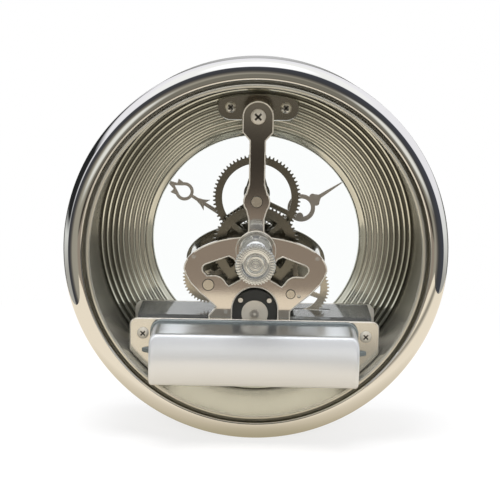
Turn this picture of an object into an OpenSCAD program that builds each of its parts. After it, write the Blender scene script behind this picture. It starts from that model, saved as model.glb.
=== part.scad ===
// Skeleton clock that drops into the round hole of a stand: an open drum case with a ribbed
// ring behind the dial, a quartz-driven wheel train between two plates, hands at the front
// and a battery box at the back.
// Millimetres, +Z up. The dial faces -Y and the open back faces +Y. The origin is on the case
// axis, in the plane where the rim seats on the back of the stand.

/* [Case] */
// Diameter of the rolled rim at the back of the case
rim_d = 131.4; // [130.4:0.2:138]
// Step between the rim and the drum that goes into the stand
rim_step = 0.7; // [0.6:0.05:1.2]
// Length of the rim behind the back of the stand
rim_len = 8.6; // [8.4:0.2:12]
// Radius of the rim's front edge
rim_edge = 0.2; // [0.1:0.05:0.3]
// Wall of the outer shell
shell_wall = 1.3; // [1:0.1:1.6]
// Radius of the roll at the rear edge of the rim
rear_roll = 6.15; // [5.9:0.05:6.3]
// Radius of the curl that ends the roll
curl_r = 0.8; // [0.6:0.05:0.9]
// Length of the curl's straight end
curl_end = 1.2; // [0.8:0.1:1.6]
// Distance from the outside of the rim to the inside of the liner tube
groove_w = 9.3; // [9.2:0.05:9.8]
// Wall of the liner tube
liner_wall = 1; // [0.8:0.1:1.2]
// Radius of the rolled bead at the rear end of the liner
bead_r = 0.7; // [0.6:0.05:0.8]
// Thickness of the web that joins the liner to the shell
web_t = 1; // [0.8:0.1:1.4]

/* [Ribbed ring and dial] */
// Width of the ring's face between the open centre and the liner
ribbed_w = 19.5; // [19:0.1:21]
// Depth of the ribbed face below the rear edge of the case
ring_depth = 34; // [33:0.5:40]
// Thickness of the ribbed ring's plate
ring_t = 2; // [1.6:0.1:2.6]
// Number of concentric ribs
rib_count = 9; // [4:1:9]
// Distance from rib to rib
rib_pitch = 1.88; // [1.5:0.01:1.9]
// Radius of one half-round rib
rib_r = 0.62; // [0.4:0.02:0.7]
// Smooth lip between the open centre and the first rib
ring_lip = 3.05; // [2:0.05:3.1]
// Thickness of the dial ring
dial_t = 0.8; // [0.6:0.1:1]
// Thickness of the glass
glass_t = 2; // [1.5:0.1:3]
// Distance from the outside of the drum to the edge of the glass
glass_inset = 5; // [4.6:0.05:5.6]
// Width of the bezel's lap in front of the glass
bezel_lap = 2.2; // [1.8:0.1:3.4]
// Depth of the bezel's lip in front of the glass
bezel_lip = 1.6; // [1.2:0.1:2.5]
// Radius of the bezel's rounded front edge
bezel_round = 4; // [2:0.1:4.5]
// Wall of the spacer ring between the dial and the glass
spacer_wall = 1.4; // [1:0.1:1.6]

/* [Plates] */
// Thickness of both movement plates
plate_t = 1.5; // [1.2:0.1:1.8]
// Space between the two plates
plate_gap = 19.1; // [18.6:0.1:22]
// Half width of the oval part of the plates
oval_half_w = 24.8; // [24.4:0.1:26]
// Height of the oval's middle below the axis
oval_drop = 7; // [6.5:0.1:7.4]
// Rise of the rear plate's oval above its middle
rear_oval_rise = 11.8; // [11:0.1:12.4]
// Rise of the front plate's oval above its middle
front_oval_rise = 13; // [12.4:0.1:14]
// Width of the arm that rises from the plates
arm_w = 5.6; // [5:0.1:6.4]
// Distance from the bracket's screws down to the screw at the top of the arm
arm_inset = 1.3; // [0.8:0.1:2.4]
// Radius of the rounded head of the arm
arm_head_r = 5.3; // [4.6:0.1:5.5]
// Radius of the boss round the upper wheel's pivot
boss_r = 4.65; // [4:0.05:5]
// Half width of the arch between the legs
arch_r = 7.8; // [7.2:0.1:8]
// Height of the arch's centre below the axis
arch_drop = 20.9; // [20.5:0.1:21.4]
// Radius of the three pillars
pillar_r = 1.2; // [1:0.05:1.3]

/* [Bracket and post] */
// Thickness of the top bracket and of the box's front flange
bracket_t = 1.4; // [1:0.1:1.8]
// Distance from screw to screw on the bracket
bracket_span = 19.6; // [18:0.1:21]
// Radius of the bracket's round ends
bracket_end_r = 4.6; // [4:0.1:4.8]
// Distance from the free inside of the case to the bracket's screws
bracket_inset = 8.3; // [7.9:0.1:9.1]
// Radius of the post that carries the arm
post_r = 2.8; // [2.2:0.1:3.2]

/* [Wheels] */
// Module of the upper wheel and its pinion
upper_module = 0.46; // [0.45:0.005:0.465]
// Module of the drive wheel, side wheels and motor pinion
drive_module = 0.4; // [0.39:0.005:0.41]
// Teeth of the upper wheel
upper_teeth = 65; // [63:1:67]
// Leaves of the pinion on the centre arbor
pinion_leaves = 8; // [8:1:9]
// Teeth of the centre wheel
centre_teeth = 64; // [60:1:66]
// Teeth of the drive wheel
drive_teeth = 56; // [55:1:57]
// Teeth of the left wheel, seen from the back
left_teeth = 46; // [44:1:46]
// Teeth of the right wheel, seen from the back
right_teeth = 54; // [52:1:54]
// Teeth of the motor pinion
motor_teeth = 29; // [28:1:30]
// Direction of the left wheel's axis, seen from the front, in degrees
left_angle = -37.4; // [-39:0.1:-36]
// Direction of the right wheel's axis, seen from the front, in degrees
right_angle = 226.3; // [225:0.1:228]
// Distance from the plane of one wheel to the next
wheel_step = 4.2; // [3:0.1:4.4]
// Thickness of the wheels
wheel_t = 1.2; // [0.8:0.1:1.4]
// Rim width of the upper and side wheels
rim_w = 2.4; // [1.8:0.1:3]
// Width of the spokes
spoke_w = 1.7; // [1.2:0.1:2.2]
// Radius of the arbors
arbor_r = 0.9; // [0.8:0.05:1]
// Radius of the pivots at the ends of the arbors
pivot_r = 0.6; // [0.4:0.05:0.7]

/* [Motion work and hands] */
// Module of the cannon pinion and minute wheel
cannon_module = 0.375; // [0.36:0.005:0.39]
// Thickness of the motion work wheels
motion_t = 1; // [0.8:0.1:1]
// Outer radius of the hour pipe
pipe_r = 1.8; // [1.6:0.05:2.2]
// Thickness of the hands
hand_t = 0.6; // [0.4:0.05:0.8]
// Clear space between the dial, the hands and the glass
hand_gap = 1; // [0.8:0.1:1.4]
// Length of the minute hand
minute_len = 46; // [44:0.5:52]
// Length of the hour hand
hour_len = 36.6; // [36:0.2:40]
// Angle of the minute hand, clockwise from twelve
minute_angle = 59; // [0:1:359]
// Angle of the hour hand, clockwise from twelve
hour_angle = 303.5; // [0:0.5:359]

/* [Setting knob] */
// Radius of the knurled head
knob_r = 6.7; // [5.8:0.1:8]
// Length of the knurled head
knob_head = 8.4; // [5:0.2:10]
// Radius of the knob's domed foot
neck_r = 5.9; // [5.2:0.1:6.4]
// Height of the full dome
dome_h = 6.5; // [5:0.1:7]
// Radius of the stem between the foot and the head
stem_r = 3.4; // [2.8:0.1:4.4]
// Length of the foot and the stem
neck_len = 17.6; // [12:0.1:19]
// Number of grooves round the head
knurl_count = 40; // [24:1:48]
// Radius of the collar on the rear plate
collar_r = 7; // [6:0.1:7.2]
// Thickness of the collar
collar_t = 1.2; // [0.8:0.1:1.6]

/* [Battery box] */
// Distance from the free inside of the case, level with the axis, to the side of the box
box_inset = 14.9; // [14.1:0.1:15.5]
// Height of the box's top below the axis
box_top = 23.4; // [23.4:0.1:24]
// Height of the box's bottom below the axis
box_bottom = 42; // [41.5:0.5:44]
// Wall of the box
box_wall = 1.2; // [1:0.1:1.6]
// Width by which the box's rear plate and front flange stand out past its sides
flange_w = 2.6; // [2.2:0.1:3.4]
// Radius of the upper corners of the rear plate and front flange
flange_corner = 2.6; // [1:0.1:3]
// Thickness of the rear plate
rear_plate_t = 1.4; // [1:0.1:2]
// Drop of the rear plate's upper edge below the top of the box
plate_drop = 0.8; // [0:0.1:0.9]
// Depth to which the rear plate's legs reach below the axis
leg_drop = 30; // [28:0.5:32]
// Distance from the box's side to its screws
box_screw_inset = 2; // [1.7:0.1:2.4]
// Height of the box screws below the axis
box_screw_drop = 29.5; // [28:0.1:30]
// Radius of the battery
battery_r = 7.25; // [5.25:0.05:7.25]
// Length of the battery with its nub
battery_len = 50.5; // [44.5:0.5:51]
// Distance from the box's side to the end of the battery cover
cover_inset = 5.4; // [4.2:0.1:6]
// Radius of the cover's upper corners
cover_corner = 3.4; // [2:0.1:4]
// Height of the battery cover
cover_h = 18; // [18:0.1:18.3]
// Height of the cover's top below the axis
cover_top = 25.1; // [25:0.1:25.5]
// Depth of the battery cover
cover_depth = 20.1; // [18:0.1:24]
// Wall of the battery cover
cover_wall = 1; // [0.8:0.1:1.1]
// Radius of the cover's curved rear face
cover_curve = 14; // [13:0.5:18]
// Radius of the cover's upper and lower rear edges
cover_edge = 2.4; // [2:0.1:2.8]
// Thickness of the tray's collar on the rear plate
tray_t = 1.8; // [1:0.1:2.4]
// Width of the tray's collar round the cover
tray_margin = 0.8; // [0.5:0.1:0.9]

/* [Motor] */
// Radius of the motor can
motor_r = 4.6; // [4:0.1:4.8]
// Length of the motor can
motor_len = 11.4; // [11.1:0.1:12]
// Wall of the clamp round the motor can
clamp_wall = 3.7; // [3.4:0.1:3.8]
// Length of the clamp
clamp_len = 2.4; // [1.8:0.1:3]

/* [Fasteners] */
// Radius of the small screw heads
screw_head_r = 2; // [1.6:0.1:2.2]
// Height of the small screw heads
screw_head_h = 1.1; // [0.8:0.1:1.4]
// Radius of the screw shanks
screw_r = 1; // [0.8:0.05:1]
// Radius of the head of the post screw
post_screw_head_r = 2.6; // [2.2:0.1:3]

/* [Hidden] */

$fn = 96;
// Clearances: pieces that are only set together, running pivots, and pieces that pass each other
set_gap = 0.05;
run_gap = 0.05;
pass_gap = 0.35;
// A cut runs this far past the face that it opens
over = 1;

// Radii of the case
rim_r = rim_d / 2;
drum_r = rim_r - rim_step;
ridge_r = rim_r - rear_roll;
liner_in = rim_r - groove_w;
liner_out = liner_in + liner_wall;
inside_r = liner_in - 0.9;
opening_r = liner_in - ribbed_w;
glass_r = drum_r - glass_inset;
bezel_open_r = glass_r - bezel_lap;

// Places inside the case
bracket_height = inside_r - bracket_inset;
arm_top = bracket_height - arm_inset;
box_half = inside_r - box_inset;
flange_half = box_half + flange_w;
box_screw_half = box_half - box_screw_inset;
cover_half = box_half - cover_inset;

// Depths along Y, from the ribbed ring to the front
ring_y = rim_len - ring_depth;
ring_front = ring_y - ring_t;
dial_front = ring_front - dial_t;
hour_hand_front = dial_front - hand_gap - hand_t;
minute_hand_front = hour_hand_front - hand_gap - hand_t;
glass_back = minute_hand_front - hand_gap;
glass_front = glass_back - glass_t;
bezel_front = glass_front - bezel_lip;
bezel_skirt = 2.5;
drum_front = ring_front - bezel_skirt;

// Depths along Y, from the ribbed ring to the back
seat_y = ring_y + rib_r + set_gap;
bracket_back = seat_y + bracket_t;
front_plate_y = bracket_back + pass_gap;
front_plate_back = front_plate_y + plate_t;
rear_plate_y = front_plate_back + plate_gap;
rear_plate_back = rear_plate_y + plate_t;
drive_y = front_plate_back + wheel_step + 1.8;
upper_y = drive_y + wheel_step;
centre_y = upper_y + wheel_step;
cannon_y = front_plate_y - pass_gap - motion_t;
hour_y = cannon_y - pass_gap - motion_t;
collar_back = rear_plate_back + collar_t;
knob_y = collar_back + pass_gap;
knob_back = knob_y + neck_len + knob_head;
box_back = rear_plate_y - set_gap;
box_plate_y = rear_plate_back + set_gap;
box_plate_back = box_plate_y + rear_plate_t;
tray_back = box_plate_back + tray_t;
cover_y = tray_back + set_gap;
cover_back = cover_y + cover_depth;
battery_y = tray_back + battery_r;

// Axes of the wheels, as [x, z] seen from the front
centre_axis = [0, 0];
upper_axis = [0, mesh_distance(upper_module, upper_teeth, pinion_leaves)];
left_axis = polar(mesh_distance(drive_module, drive_teeth, left_teeth), left_angle);
right_axis = polar(mesh_distance(drive_module, drive_teeth, right_teeth), right_angle);
motor_reach = mesh_distance(drive_module, right_teeth, motor_teeth);
motor_axis = [0, right_axis[1] - sqrt(motor_reach * motor_reach - right_axis[0] * right_axis[0])];
// Teeth of the motion work, which turns the hour hand once for twelve turns of the minute hand
cannon_teeth = 12;
minute_teeth = 36;
minute_leaves = 10;
hour_teeth = 40;
stud_axis = [0, -mesh_distance(cannon_module, cannon_teeth, minute_teeth)];
hour_module = -2 * stud_axis[1] / (hour_teeth + minute_leaves);
stud_r = 0.8;
stud_cap_r = 1.3;

// Where the teeth point at rest, so that every pair is in mesh
drive_phase = 0;
pinion_phase = 0;
cannon_phase = 0;
upper_phase = mesh_phase(pinion_leaves, pinion_phase, upper_teeth, 90);
left_phase = mesh_phase(drive_teeth, drive_phase, left_teeth, left_angle);
right_phase = mesh_phase(drive_teeth, drive_phase, right_teeth, right_angle);
motor_bearing = atan2(motor_axis[1] - right_axis[1], motor_axis[0] - right_axis[0]);
motor_phase = mesh_phase(right_teeth, right_phase, motor_teeth, motor_bearing);
minute_phase = mesh_phase(cannon_teeth, cannon_phase, minute_teeth, -90);
leaf_phase = 0;
hour_phase = mesh_phase(minute_leaves, leaf_phase, hour_teeth, 90);

// Pillars, seen from the front, and the rivet of the rear plate
pillars = [[21.3, -2.6], [-21.3, -2.6], [10, -21.8]];
rivet_axis = [-12.3, -15.2];
rivet_r = 1.7;
bush_r = 2.1;
bush_rise = 0.35;

// Battery bay
cover_mid = -cover_top - cover_h / 2;
wall_gap = 2.25;
contact_t = 0.4;
end_wall = 1.5;
bay_x = battery_len / 2 + wall_gap;
clamp_r = motor_r + clamp_wall;
notch_half = clamp_r + pass_gap;
can_y = drive_y + wheel_t + 2 * pass_gap;
clamp_y = rear_plate_y - clamp_len;

// Distance between the axes of two meshed wheels
function mesh_distance(m, a, b) = m * (a + b) / 2;
// Point at a distance and an angle from the axis
function polar(r, a) = [r * cos(a), r * sin(a)];
// Angle of a wheel's first tooth that puts it in mesh with wheel a, whose first tooth points at phase_a,
// when it lies in the given direction from wheel a
function mesh_phase(a, phase_a, b, bearing) =
    bearing + 180 - (0.5 - (bearing - phase_a) * a / 360) * 360 / b;
// Points along a round stretch
function arc(c, r, a0, a1, n = 12) = [for (i = [0 : n]) c + polar(r, a0 + (a1 - a0) * i / n)];
// Points along an elliptic stretch
function oval_arc(c, rx, ry, a0, a1, n = 24) =
    [for (i = [0 : n]) let (a = a0 + (a1 - a0) * i / n) c + [rx * cos(a), ry * sin(a)]];
// The same points on the other side of the middle plane, in reverse order
function other_side(points) = [for (i = [len(points) - 1 : -1 : 0]) [-points[i][0], points[i][1]]];
// Outline of a toothed wheel with straight flanks; land is the tooth's width on the pitch circle in pitches
function teeth_outline(n, m, phase, land) = let (
    pitch_r = m * n / 2,
    tip_r = pitch_r + 0.8 * m,
    root_r = pitch_r - 1.05 * m,
    step = 360 / n,
    tip = (land - 0.2) * step / 2,
    root = (land + 0.2) * step / 2
) [for (i = [0 : n - 1]) let (a = phase + i * step)
    each [polar(root_r, a - root), polar(tip_r, a - tip), polar(tip_r, a + tip), polar(root_r, a + root)]];
function root_radius(n, m) = m * (n / 2 - 1.05);
// Widths of the teeth: wheels, and leaves of pinions
wheel_land = 0.4;
leaf_land = 0.34;

// A flat shape drawn as [x, z], made solid from depth y0 to y1
module along_y(y0, y1) {
    translate([0, y1, 0]) rotate([90, 0, 0]) linear_extrude(y1 - y0) children();
}

// A round rod along Y at p, an [x, z] point
module rod(p, y0, y1, r) {
    translate([p[0], y1, p[1]]) rotate([90, 0, 0]) cylinder(h = y1 - y0, r = r);
}

// A shape turned about the case axis from its section, drawn as [radius, y]
module turned() {
    rotate([-90, 0, 0]) rotate_extrude($fn = 180) children();
}

// A shape drawn as [y, z], made solid from x0 to x1
module along_x(x0, x1) {
    translate([x0, 0, 0]) rotate([90, 0, 90]) linear_extrude(x1 - x0) children();
}

// Moves a flat shape to an [x, z] point
module at(p) {
    translate([p[0], p[1], 0]) children();
}

// A slot with round ends, centred on its middle
module stadium(span, r) {
    square([span, 2 * r], center = true);
    for (s = [-1, 1]) translate([s * span / 2, 0]) circle(r);
}

// A flat toothed wheel with a rim, spokes and a hub
module spoked_wheel(n, m, phase, rim, spokes, spoke_angle, hub_r, bore_r) {
    rim_in = root_radius(n, m) - rim;
    difference() {
        polygon(teeth_outline(n, m, phase, wheel_land));
        difference() {
            circle(rim_in);
            circle(hub_r);
            for (i = [0 : spokes - 1]) rotate(spoke_angle + i * 360 / spokes)
                translate([0, -spoke_w / 2]) square([rim_in + rim / 2, spoke_w]);
        }
        circle(bore_r);
    }
}

// A screw along Y with its head's seat at depth y, pointing towards -Y
module screw(p, y, head_r, head_h, shank_r, length) {
    cross = head_r * 0.28;
    difference() {
        union() {
            rod(p, y - length, y, shank_r);
            translate([p[0], y, p[1]]) rotate([-90, 0, 0]) rotate_extrude(convexity = 4)
                polygon(concat([[0, 0], [head_r, 0], [head_r, head_h * 0.35]],
                    [[head_r * 0.86, head_h * 0.72], [head_r * 0.55, head_h], [0, head_h]]));
        }
        for (a = [45, 135]) translate([p[0], y + head_h, p[1]]) rotate([0, a, 0])
            cube([head_r * 1.15, head_h, cross], center = true);
    }
}

// An arbor between the plates with a pivot at each end
module arbor(p, r) {
    rod(p, front_plate_back + run_gap, rear_plate_y - run_gap, r);
    rod(p, front_plate_y, rear_plate_y + plate_t / 2, pivot_r);
}

module case_shell() {
    curl_y = rim_len - curl_r - curl_end;
    color("gainsboro") turned() polygon(concat(
        [[drum_r, drum_front], [drum_r, 0]],
        arc([rim_r - rim_edge, rim_edge], rim_edge, -90, 0, 6),
        arc([ridge_r, rim_len - rear_roll], rear_roll, 0, 90, 24),
        arc([ridge_r, rim_len - curl_r], curl_r, 90, 180, 8),
        [[ridge_r - curl_r, curl_y], [ridge_r, curl_y]],
        arc([ridge_r, rim_len - rear_roll], rear_roll - shell_wall, 90, 0, 24),
        [[rim_r - shell_wall, shell_wall], [drum_r - shell_wall, shell_wall], [drum_r - shell_wall, drum_front]]
    ));
}

module inner_liner() {
    web_y = shell_wall + set_gap;
    web_out = rim_r - shell_wall - set_gap;
    color("silver") turned() {
        translate([liner_in, ring_y]) square([liner_wall, ring_depth - bead_r]);
        translate([liner_in, web_y]) square([web_out - liner_in, web_t]);
        translate([liner_in + liner_wall / 2, rim_len - bead_r]) circle(bead_r, $fn = 32);
    }
}

module front_bezel() {
    skirt_out = drum_r - shell_wall - set_gap;
    skirt_in = skirt_out - shell_wall;
    seat_r = glass_r + set_gap;
    color("gainsboro") turned() polygon(concat(
        [[drum_r, drum_front - set_gap]],
        arc([drum_r - bezel_round, bezel_front + bezel_round], bezel_round, 0, -90, 12),
        [[bezel_open_r + bezel_lip / 2, bezel_front], [bezel_open_r, bezel_front + bezel_lip / 2]],
        [[bezel_open_r, glass_front - set_gap], [seat_r, glass_front - set_gap], [seat_r, glass_back]],
        [[skirt_in, glass_back], [skirt_in, ring_front - set_gap], [skirt_out, ring_front - set_gap]],
        [[skirt_out, drum_front - set_gap]]
    ));
}

module glass_lens() {
    color("aliceblue", 0.3) rod(centre_axis, glass_front, glass_back, glass_r);
}

module ribbed_ring() {
    ring_out = drum_r - shell_wall - set_gap;
    lip_r = ring_t / 2;
    color("silver") turned() difference() {
        union() {
            translate([opening_r + lip_r, ring_front]) square([ring_out - opening_r - lip_r, ring_t]);
            translate([opening_r + lip_r, ring_y - lip_r]) circle(lip_r, $fn = 32);
            for (i = [0 : rib_count - 1])
                translate([opening_r + ring_lip + i * rib_pitch, ring_y]) circle(rib_r, $fn = 32);
        }
        translate([0, ring_front - over]) square([ring_out, over]);
    }
}

module dial_ring() {
    color("white") turned()
        translate([opening_r + ring_t / 2, dial_front]) square([liner_out - opening_r - ring_t / 2, dial_t]);
}

module spacer_ring() {
    color("silver") turned()
        translate([liner_out + set_gap, glass_back]) square([spacer_wall, ring_front - glass_back]);
}

module top_bracket() {
    color("dimgray") difference() {
        along_y(seat_y, bracket_back) difference() {
            intersection() {
                translate([0, bracket_height]) stadium(bracket_span, bracket_end_r);
                circle(bracket_height + bracket_end_r);
            }
            for (s = [-1, 1]) at([s * bracket_span / 2, bracket_height]) circle(screw_r + set_gap);
        }
    }
}

module bracket_screws() {
    color("silver") for (s = [-1, 1])
        screw([s * bracket_span / 2, bracket_height], bracket_back, screw_head_r, screw_head_h, screw_r, bracket_t);
}

module top_post() {
    color("silver") difference() {
        rod([0, arm_top], bracket_back, rear_plate_y, post_r);
        rod([0, arm_top], rear_plate_y - post_r * 3, rear_plate_y + over, screw_r + set_gap);
    }
}

module top_post_screw() {
    color("silver")
        screw([0, arm_top], rear_plate_back, post_screw_head_r, screw_head_h * 1.3, screw_r, plate_t + post_r * 2);
}

// The oval of a plate from its widest point over the top, as far as the other widest point
function oval_top(rise) = oval_arc([0, -oval_drop], oval_half_w, rise, 0, 180, 48);

// One half of a plate's skirt below the oval, from the middle outwards
function skirt_side(foot, flare) = concat(
    [[foot[0], foot[1]], [foot[2], foot[1]]], flare, [[14.1, -19.6], [19.1, -15.4], [22.6, -11.7], [24, -9.2]]
);

// The arm with its round head, its boss and the fillets where it leaves the oval
module arm_outline(top, rise, fillet) {
    half = arm_w / 2;
    root_z = rise - oval_drop;
    translate([-half, -oval_drop]) square([arm_w, top + oval_drop]);
    at(upper_axis) circle(boss_r);
    polygon([[half, upper_axis[1] - 6], [boss_r * 0.9, upper_axis[1] - 1.2], [boss_r * 0.9, upper_axis[1] + 1.2],
        [half, upper_axis[1] + 6], [-half, upper_axis[1] + 6], [-boss_r * 0.9, upper_axis[1] + 1.2],
        [-boss_r * 0.9, upper_axis[1] - 1.2], [-half, upper_axis[1] - 6]]);
    for (s = [-1, 1]) difference() {
        translate([s > 0 ? half : -half - fillet, root_z - fillet]) square([fillet, fillet * 2]);
        translate([s * (half + fillet), root_z + fillet]) circle(fillet, $fn = 32);
    }
}

// One of the two windows in the rear plate
module plate_window() {
    polygon(concat(
        [[9.3, -2.4], [7.7, -3.2], [6.3, -5.2], [5.5, -7.8], [5.3, -10.4], [9.1, -12.6]],
        arc([14.2, -13.6], 4.6, 155, 92, 8),
        [[16.7, -9.1]], arc([16.6, -6.8], 1.6, -40, 70, 6)
    ));
}

module rear_plate_outline() {
    left_leg = skirt_side([arch_r, -leg_drop, 16], [[16, -23.2], [13.6, -20.3]]);
    right_leg = skirt_side([arch_r, -leg_drop, 12.3], [[12.3, -21.4]]);
    difference() {
        union() {
            polygon(concat(oval_top(rear_oval_rise), other_side(right_leg), left_leg));
            arm_outline(arm_top, rear_oval_rise, 2.2);
            translate([-arm_head_r, arm_top - 5.4]) square([2 * arm_head_r, 5.4]);
            polygon([[-arm_head_r, arm_top - 5.4], [arm_head_r, arm_top - 5.4],
                [arm_w / 2, arm_top - 8.2], [-arm_w / 2, arm_top - 8.2]]);
            translate([0, arm_top]) circle(arm_head_r);
        }
        translate([0, -arch_drop]) circle(arch_r);
        translate([-arch_r, -leg_drop - over]) square([2 * arch_r, leg_drop + over - arch_drop]);
        plate_window();
        mirror([1, 0]) plate_window();
        translate([0, arm_top]) circle(screw_r + set_gap);
        circle(neck_r * 0.6);
        for (p = [upper_axis, left_axis]) at(p) circle(bush_r * 0.7);
        at(right_axis) circle(pivot_r + run_gap);
        at(rivet_axis) circle(rivet_r * 0.5);
        for (p = pillars) at(p) circle(pillar_r * 0.6);
    }
}

module rear_plate() {
    color("rosybrown") along_y(rear_plate_y, rear_plate_back) rear_plate_outline();
}

module front_plate_outline() {
    foot = skirt_side([arch_r, -box_top + pass_gap, 13.8], []);
    difference() {
        union() {
            polygon(concat(oval_top(front_oval_rise), other_side(foot), foot));
            arm_outline(upper_axis[1], front_oval_rise, 0.8);
            at(motor_axis) circle(motor_r);
        }
        circle(arbor_r + run_gap);
        for (p = [upper_axis, left_axis, right_axis, motor_axis]) at(p) circle(pivot_r + run_gap);
        for (p = pillars) at(p) circle(pillar_r * 0.6);
        at(stud_axis) circle(stud_r);
    }
}

module front_plate() {
    color("dimgray") along_y(front_plate_y, front_plate_back) front_plate_outline();
}

module plate_pillars() {
    color("silver") for (p = pillars) {
        rod(p, front_plate_back, rear_plate_y, pillar_r);
        rod(p, front_plate_y, rear_plate_back, pillar_r * 0.6);
    }
}

module rear_bushing() {
    color("silver") difference() {
        union() {
            rod(centre_axis, rear_plate_y, rear_plate_back, neck_r * 0.6);
            rod(centre_axis, rear_plate_back, collar_back, collar_r);
        }
        rod(centre_axis, rear_plate_y - over, collar_back + over, arbor_r + run_gap);
    }
}

module pivot_bushings() {
    color("darkkhaki") for (p = [upper_axis, left_axis]) difference() {
        union() {
            rod(p, rear_plate_y, rear_plate_back, bush_r * 0.7);
            rod(p, rear_plate_back, rear_plate_back + bush_rise, bush_r);
        }
        rod(p, rear_plate_y - over, rear_plate_back, pivot_r + run_gap);
    }
}

module plate_rivet() {
    color("darkkhaki") {
        rod(rivet_axis, rear_plate_y, rear_plate_back, rivet_r * 0.5);
        rod(rivet_axis, rear_plate_back, rear_plate_back + bush_rise, rivet_r);
    }
}

module minute_stud() {
    color("silver") {
        rod(stud_axis, hour_y - pass_gap, front_plate_back, stud_r);
        rod(stud_axis, hour_y - pass_gap - motion_t / 2, hour_y - pass_gap, stud_cap_r);
    }
}

module centre_arbor() {
    pinion_len = wheel_t + 2 * pass_gap;
    color("silver") {
        rod(centre_axis, minute_hand_front - hand_gap / 2, knob_back - knob_head / 2, arbor_r);
        along_y(upper_y - pass_gap, upper_y - pass_gap + pinion_len)
            polygon(teeth_outline(pinion_leaves, upper_module, pinion_phase, leaf_land));
    }
}

module centre_wheel() {
    color("darkolivegreen") along_y(centre_y, centre_y + wheel_t)
        spoked_wheel(centre_teeth, upper_module, 0, rim_w + 0.6, 4, 45, 4, arbor_r);
}

module drive_wheel() {
    color("dimgray") along_y(drive_y, drive_y + wheel_t)
        spoked_wheel(drive_teeth, drive_module, drive_phase, rim_w - 0.4, 4, 45, 3.4, arbor_r);
}

module cannon_pinion() {
    color("goldenrod") along_y(cannon_y, cannon_y + motion_t) difference() {
        polygon(teeth_outline(cannon_teeth, cannon_module, cannon_phase, leaf_land));
        circle(arbor_r);
    }
}

// Minute hand pointing to twelve: a tapered shaft with a pair of barbs, a pear-shaped loop and a long tip
module minute_hand_outline() {
    barb_z = 23;
    loop_z = 30.6;
    loop_r = 3.35;
    difference() {
        union() {
            circle(2.8);
            polygon([[-1, 0], [-0.55, loop_z - loop_r], [0.55, loop_z - loop_r], [1, 0]]);
            for (s = [-1, 1]) polygon([[0, barb_z - 0.7], [s * 2.3, barb_z - 2], [s * 1.2, barb_z], [s * 0.5, barb_z + 2.4],
                [0, barb_z + 2.4]]);
            translate([0, loop_z]) circle(loop_r);
            polygon([[-2.6, loop_z + 1.7], [-2.9, loop_z + 4.2], [-1.3, loop_z + 3.8], [-0.5, loop_z + 6.5],
                [-0.25, minute_len], [0.25, minute_len], [0.5, loop_z + 6.5], [1.3, loop_z + 3.8],
                [2.9, loop_z + 4.2], [2.6, loop_z + 1.7]]);
        }
        translate([0, loop_z]) circle(loop_r - 1.15);
        polygon([[-1.9, loop_z + 1], [1.9, loop_z + 1], [0, loop_z + 4.2]]);
        circle(arbor_r);
    }
}

module minute_hand() {
    color("dimgray") along_y(minute_hand_front, minute_hand_front + hand_t)
        rotate(-minute_angle) minute_hand_outline();
}

module hand_nut() {
    color("gold") difference() {
        rod(centre_axis, minute_hand_front - hand_gap * 0.6, minute_hand_front, arbor_r * 1.9);
        rod(centre_axis, minute_hand_front - hand_gap / 2, minute_hand_front + over, arbor_r);
    }
}

module set_knob() {
    bore_end = knob_back - knob_head / 2;
    groove_r = 0.38;
    color("lightgray") difference() {
        turned() polygon(concat(
            [[0, knob_y], [neck_r, knob_y]],
            oval_arc([0, knob_y + pass_gap], neck_r, dome_h, 0, acos(stem_r / neck_r), 16),
            [[stem_r, knob_y + neck_len]],
            [[knob_r - 0.4, knob_y + neck_len], [knob_r, knob_y + neck_len + 0.4], [knob_r, knob_back - 0.5]],
            [[knob_r - 0.5, knob_back], [knob_r * 0.66, knob_back], [knob_r * 0.6, knob_back - 0.5]],
            [[knob_r * 0.34, knob_back - 0.5], [knob_r * 0.28, knob_back - 0.2], [0, knob_back - 0.1]]
        ));
        for (i = [0 : knurl_count - 1])
            rod(polar(knob_r + groove_r * 0.35, i * 360 / knurl_count), knob_y + neck_len - over, knob_back + over,
                groove_r, $fn = 16);
        rod(centre_axis, knob_y - over, bore_end, arbor_r);
    }
}

module hour_wheel() {
    color("goldenrod") difference() {
        union() {
            along_y(hour_y, hour_y + motion_t) polygon(teeth_outline(hour_teeth, hour_module, hour_phase, wheel_land));
            rod(centre_axis, hour_hand_front, hour_y, pipe_r);
        }
        rod(centre_axis, hour_hand_front - over, hour_y + motion_t + over, arbor_r + run_gap);
    }
}

// Hour hand pointing to twelve: a crescent ring with two curls, a small leaf and a needle tip
module hour_hand_outline() {
    ring_z = 19.4;
    ring_out = 5;
    leaf_z = 25.4;
    difference() {
        union() {
            circle(3.2);
            polygon([[-1.2, 0], [-0.7, ring_z - ring_out + 0.5], [0.7, ring_z - ring_out + 0.5], [1.2, 0]]);
            translate([0, ring_z]) circle(ring_out);
            for (s = [-1, 1]) translate([s * 1.25, leaf_z - 0.4]) circle(1.15, $fn = 32);
            polygon([[-1.6, leaf_z - 1.4], [-1.9, leaf_z + 0.4], [-0.7, leaf_z + 1.9], [-0.2, hour_len],
                [0.2, hour_len], [0.7, leaf_z + 1.9], [1.9, leaf_z + 0.4], [1.6, leaf_z - 1.4]]);
        }
        translate([0, ring_z + 0.15]) difference() {
            circle(ring_out - 1.65);
            for (s = [-1, 1]) translate([s * 2.2, -2.2]) circle(1.25, $fn = 32);
        }
        circle(pipe_r);
    }
}

module hour_hand() {
    color("dimgray") along_y(hour_hand_front, hour_hand_front + hand_t)
        rotate(-hour_angle) hour_hand_outline();
}

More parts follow.
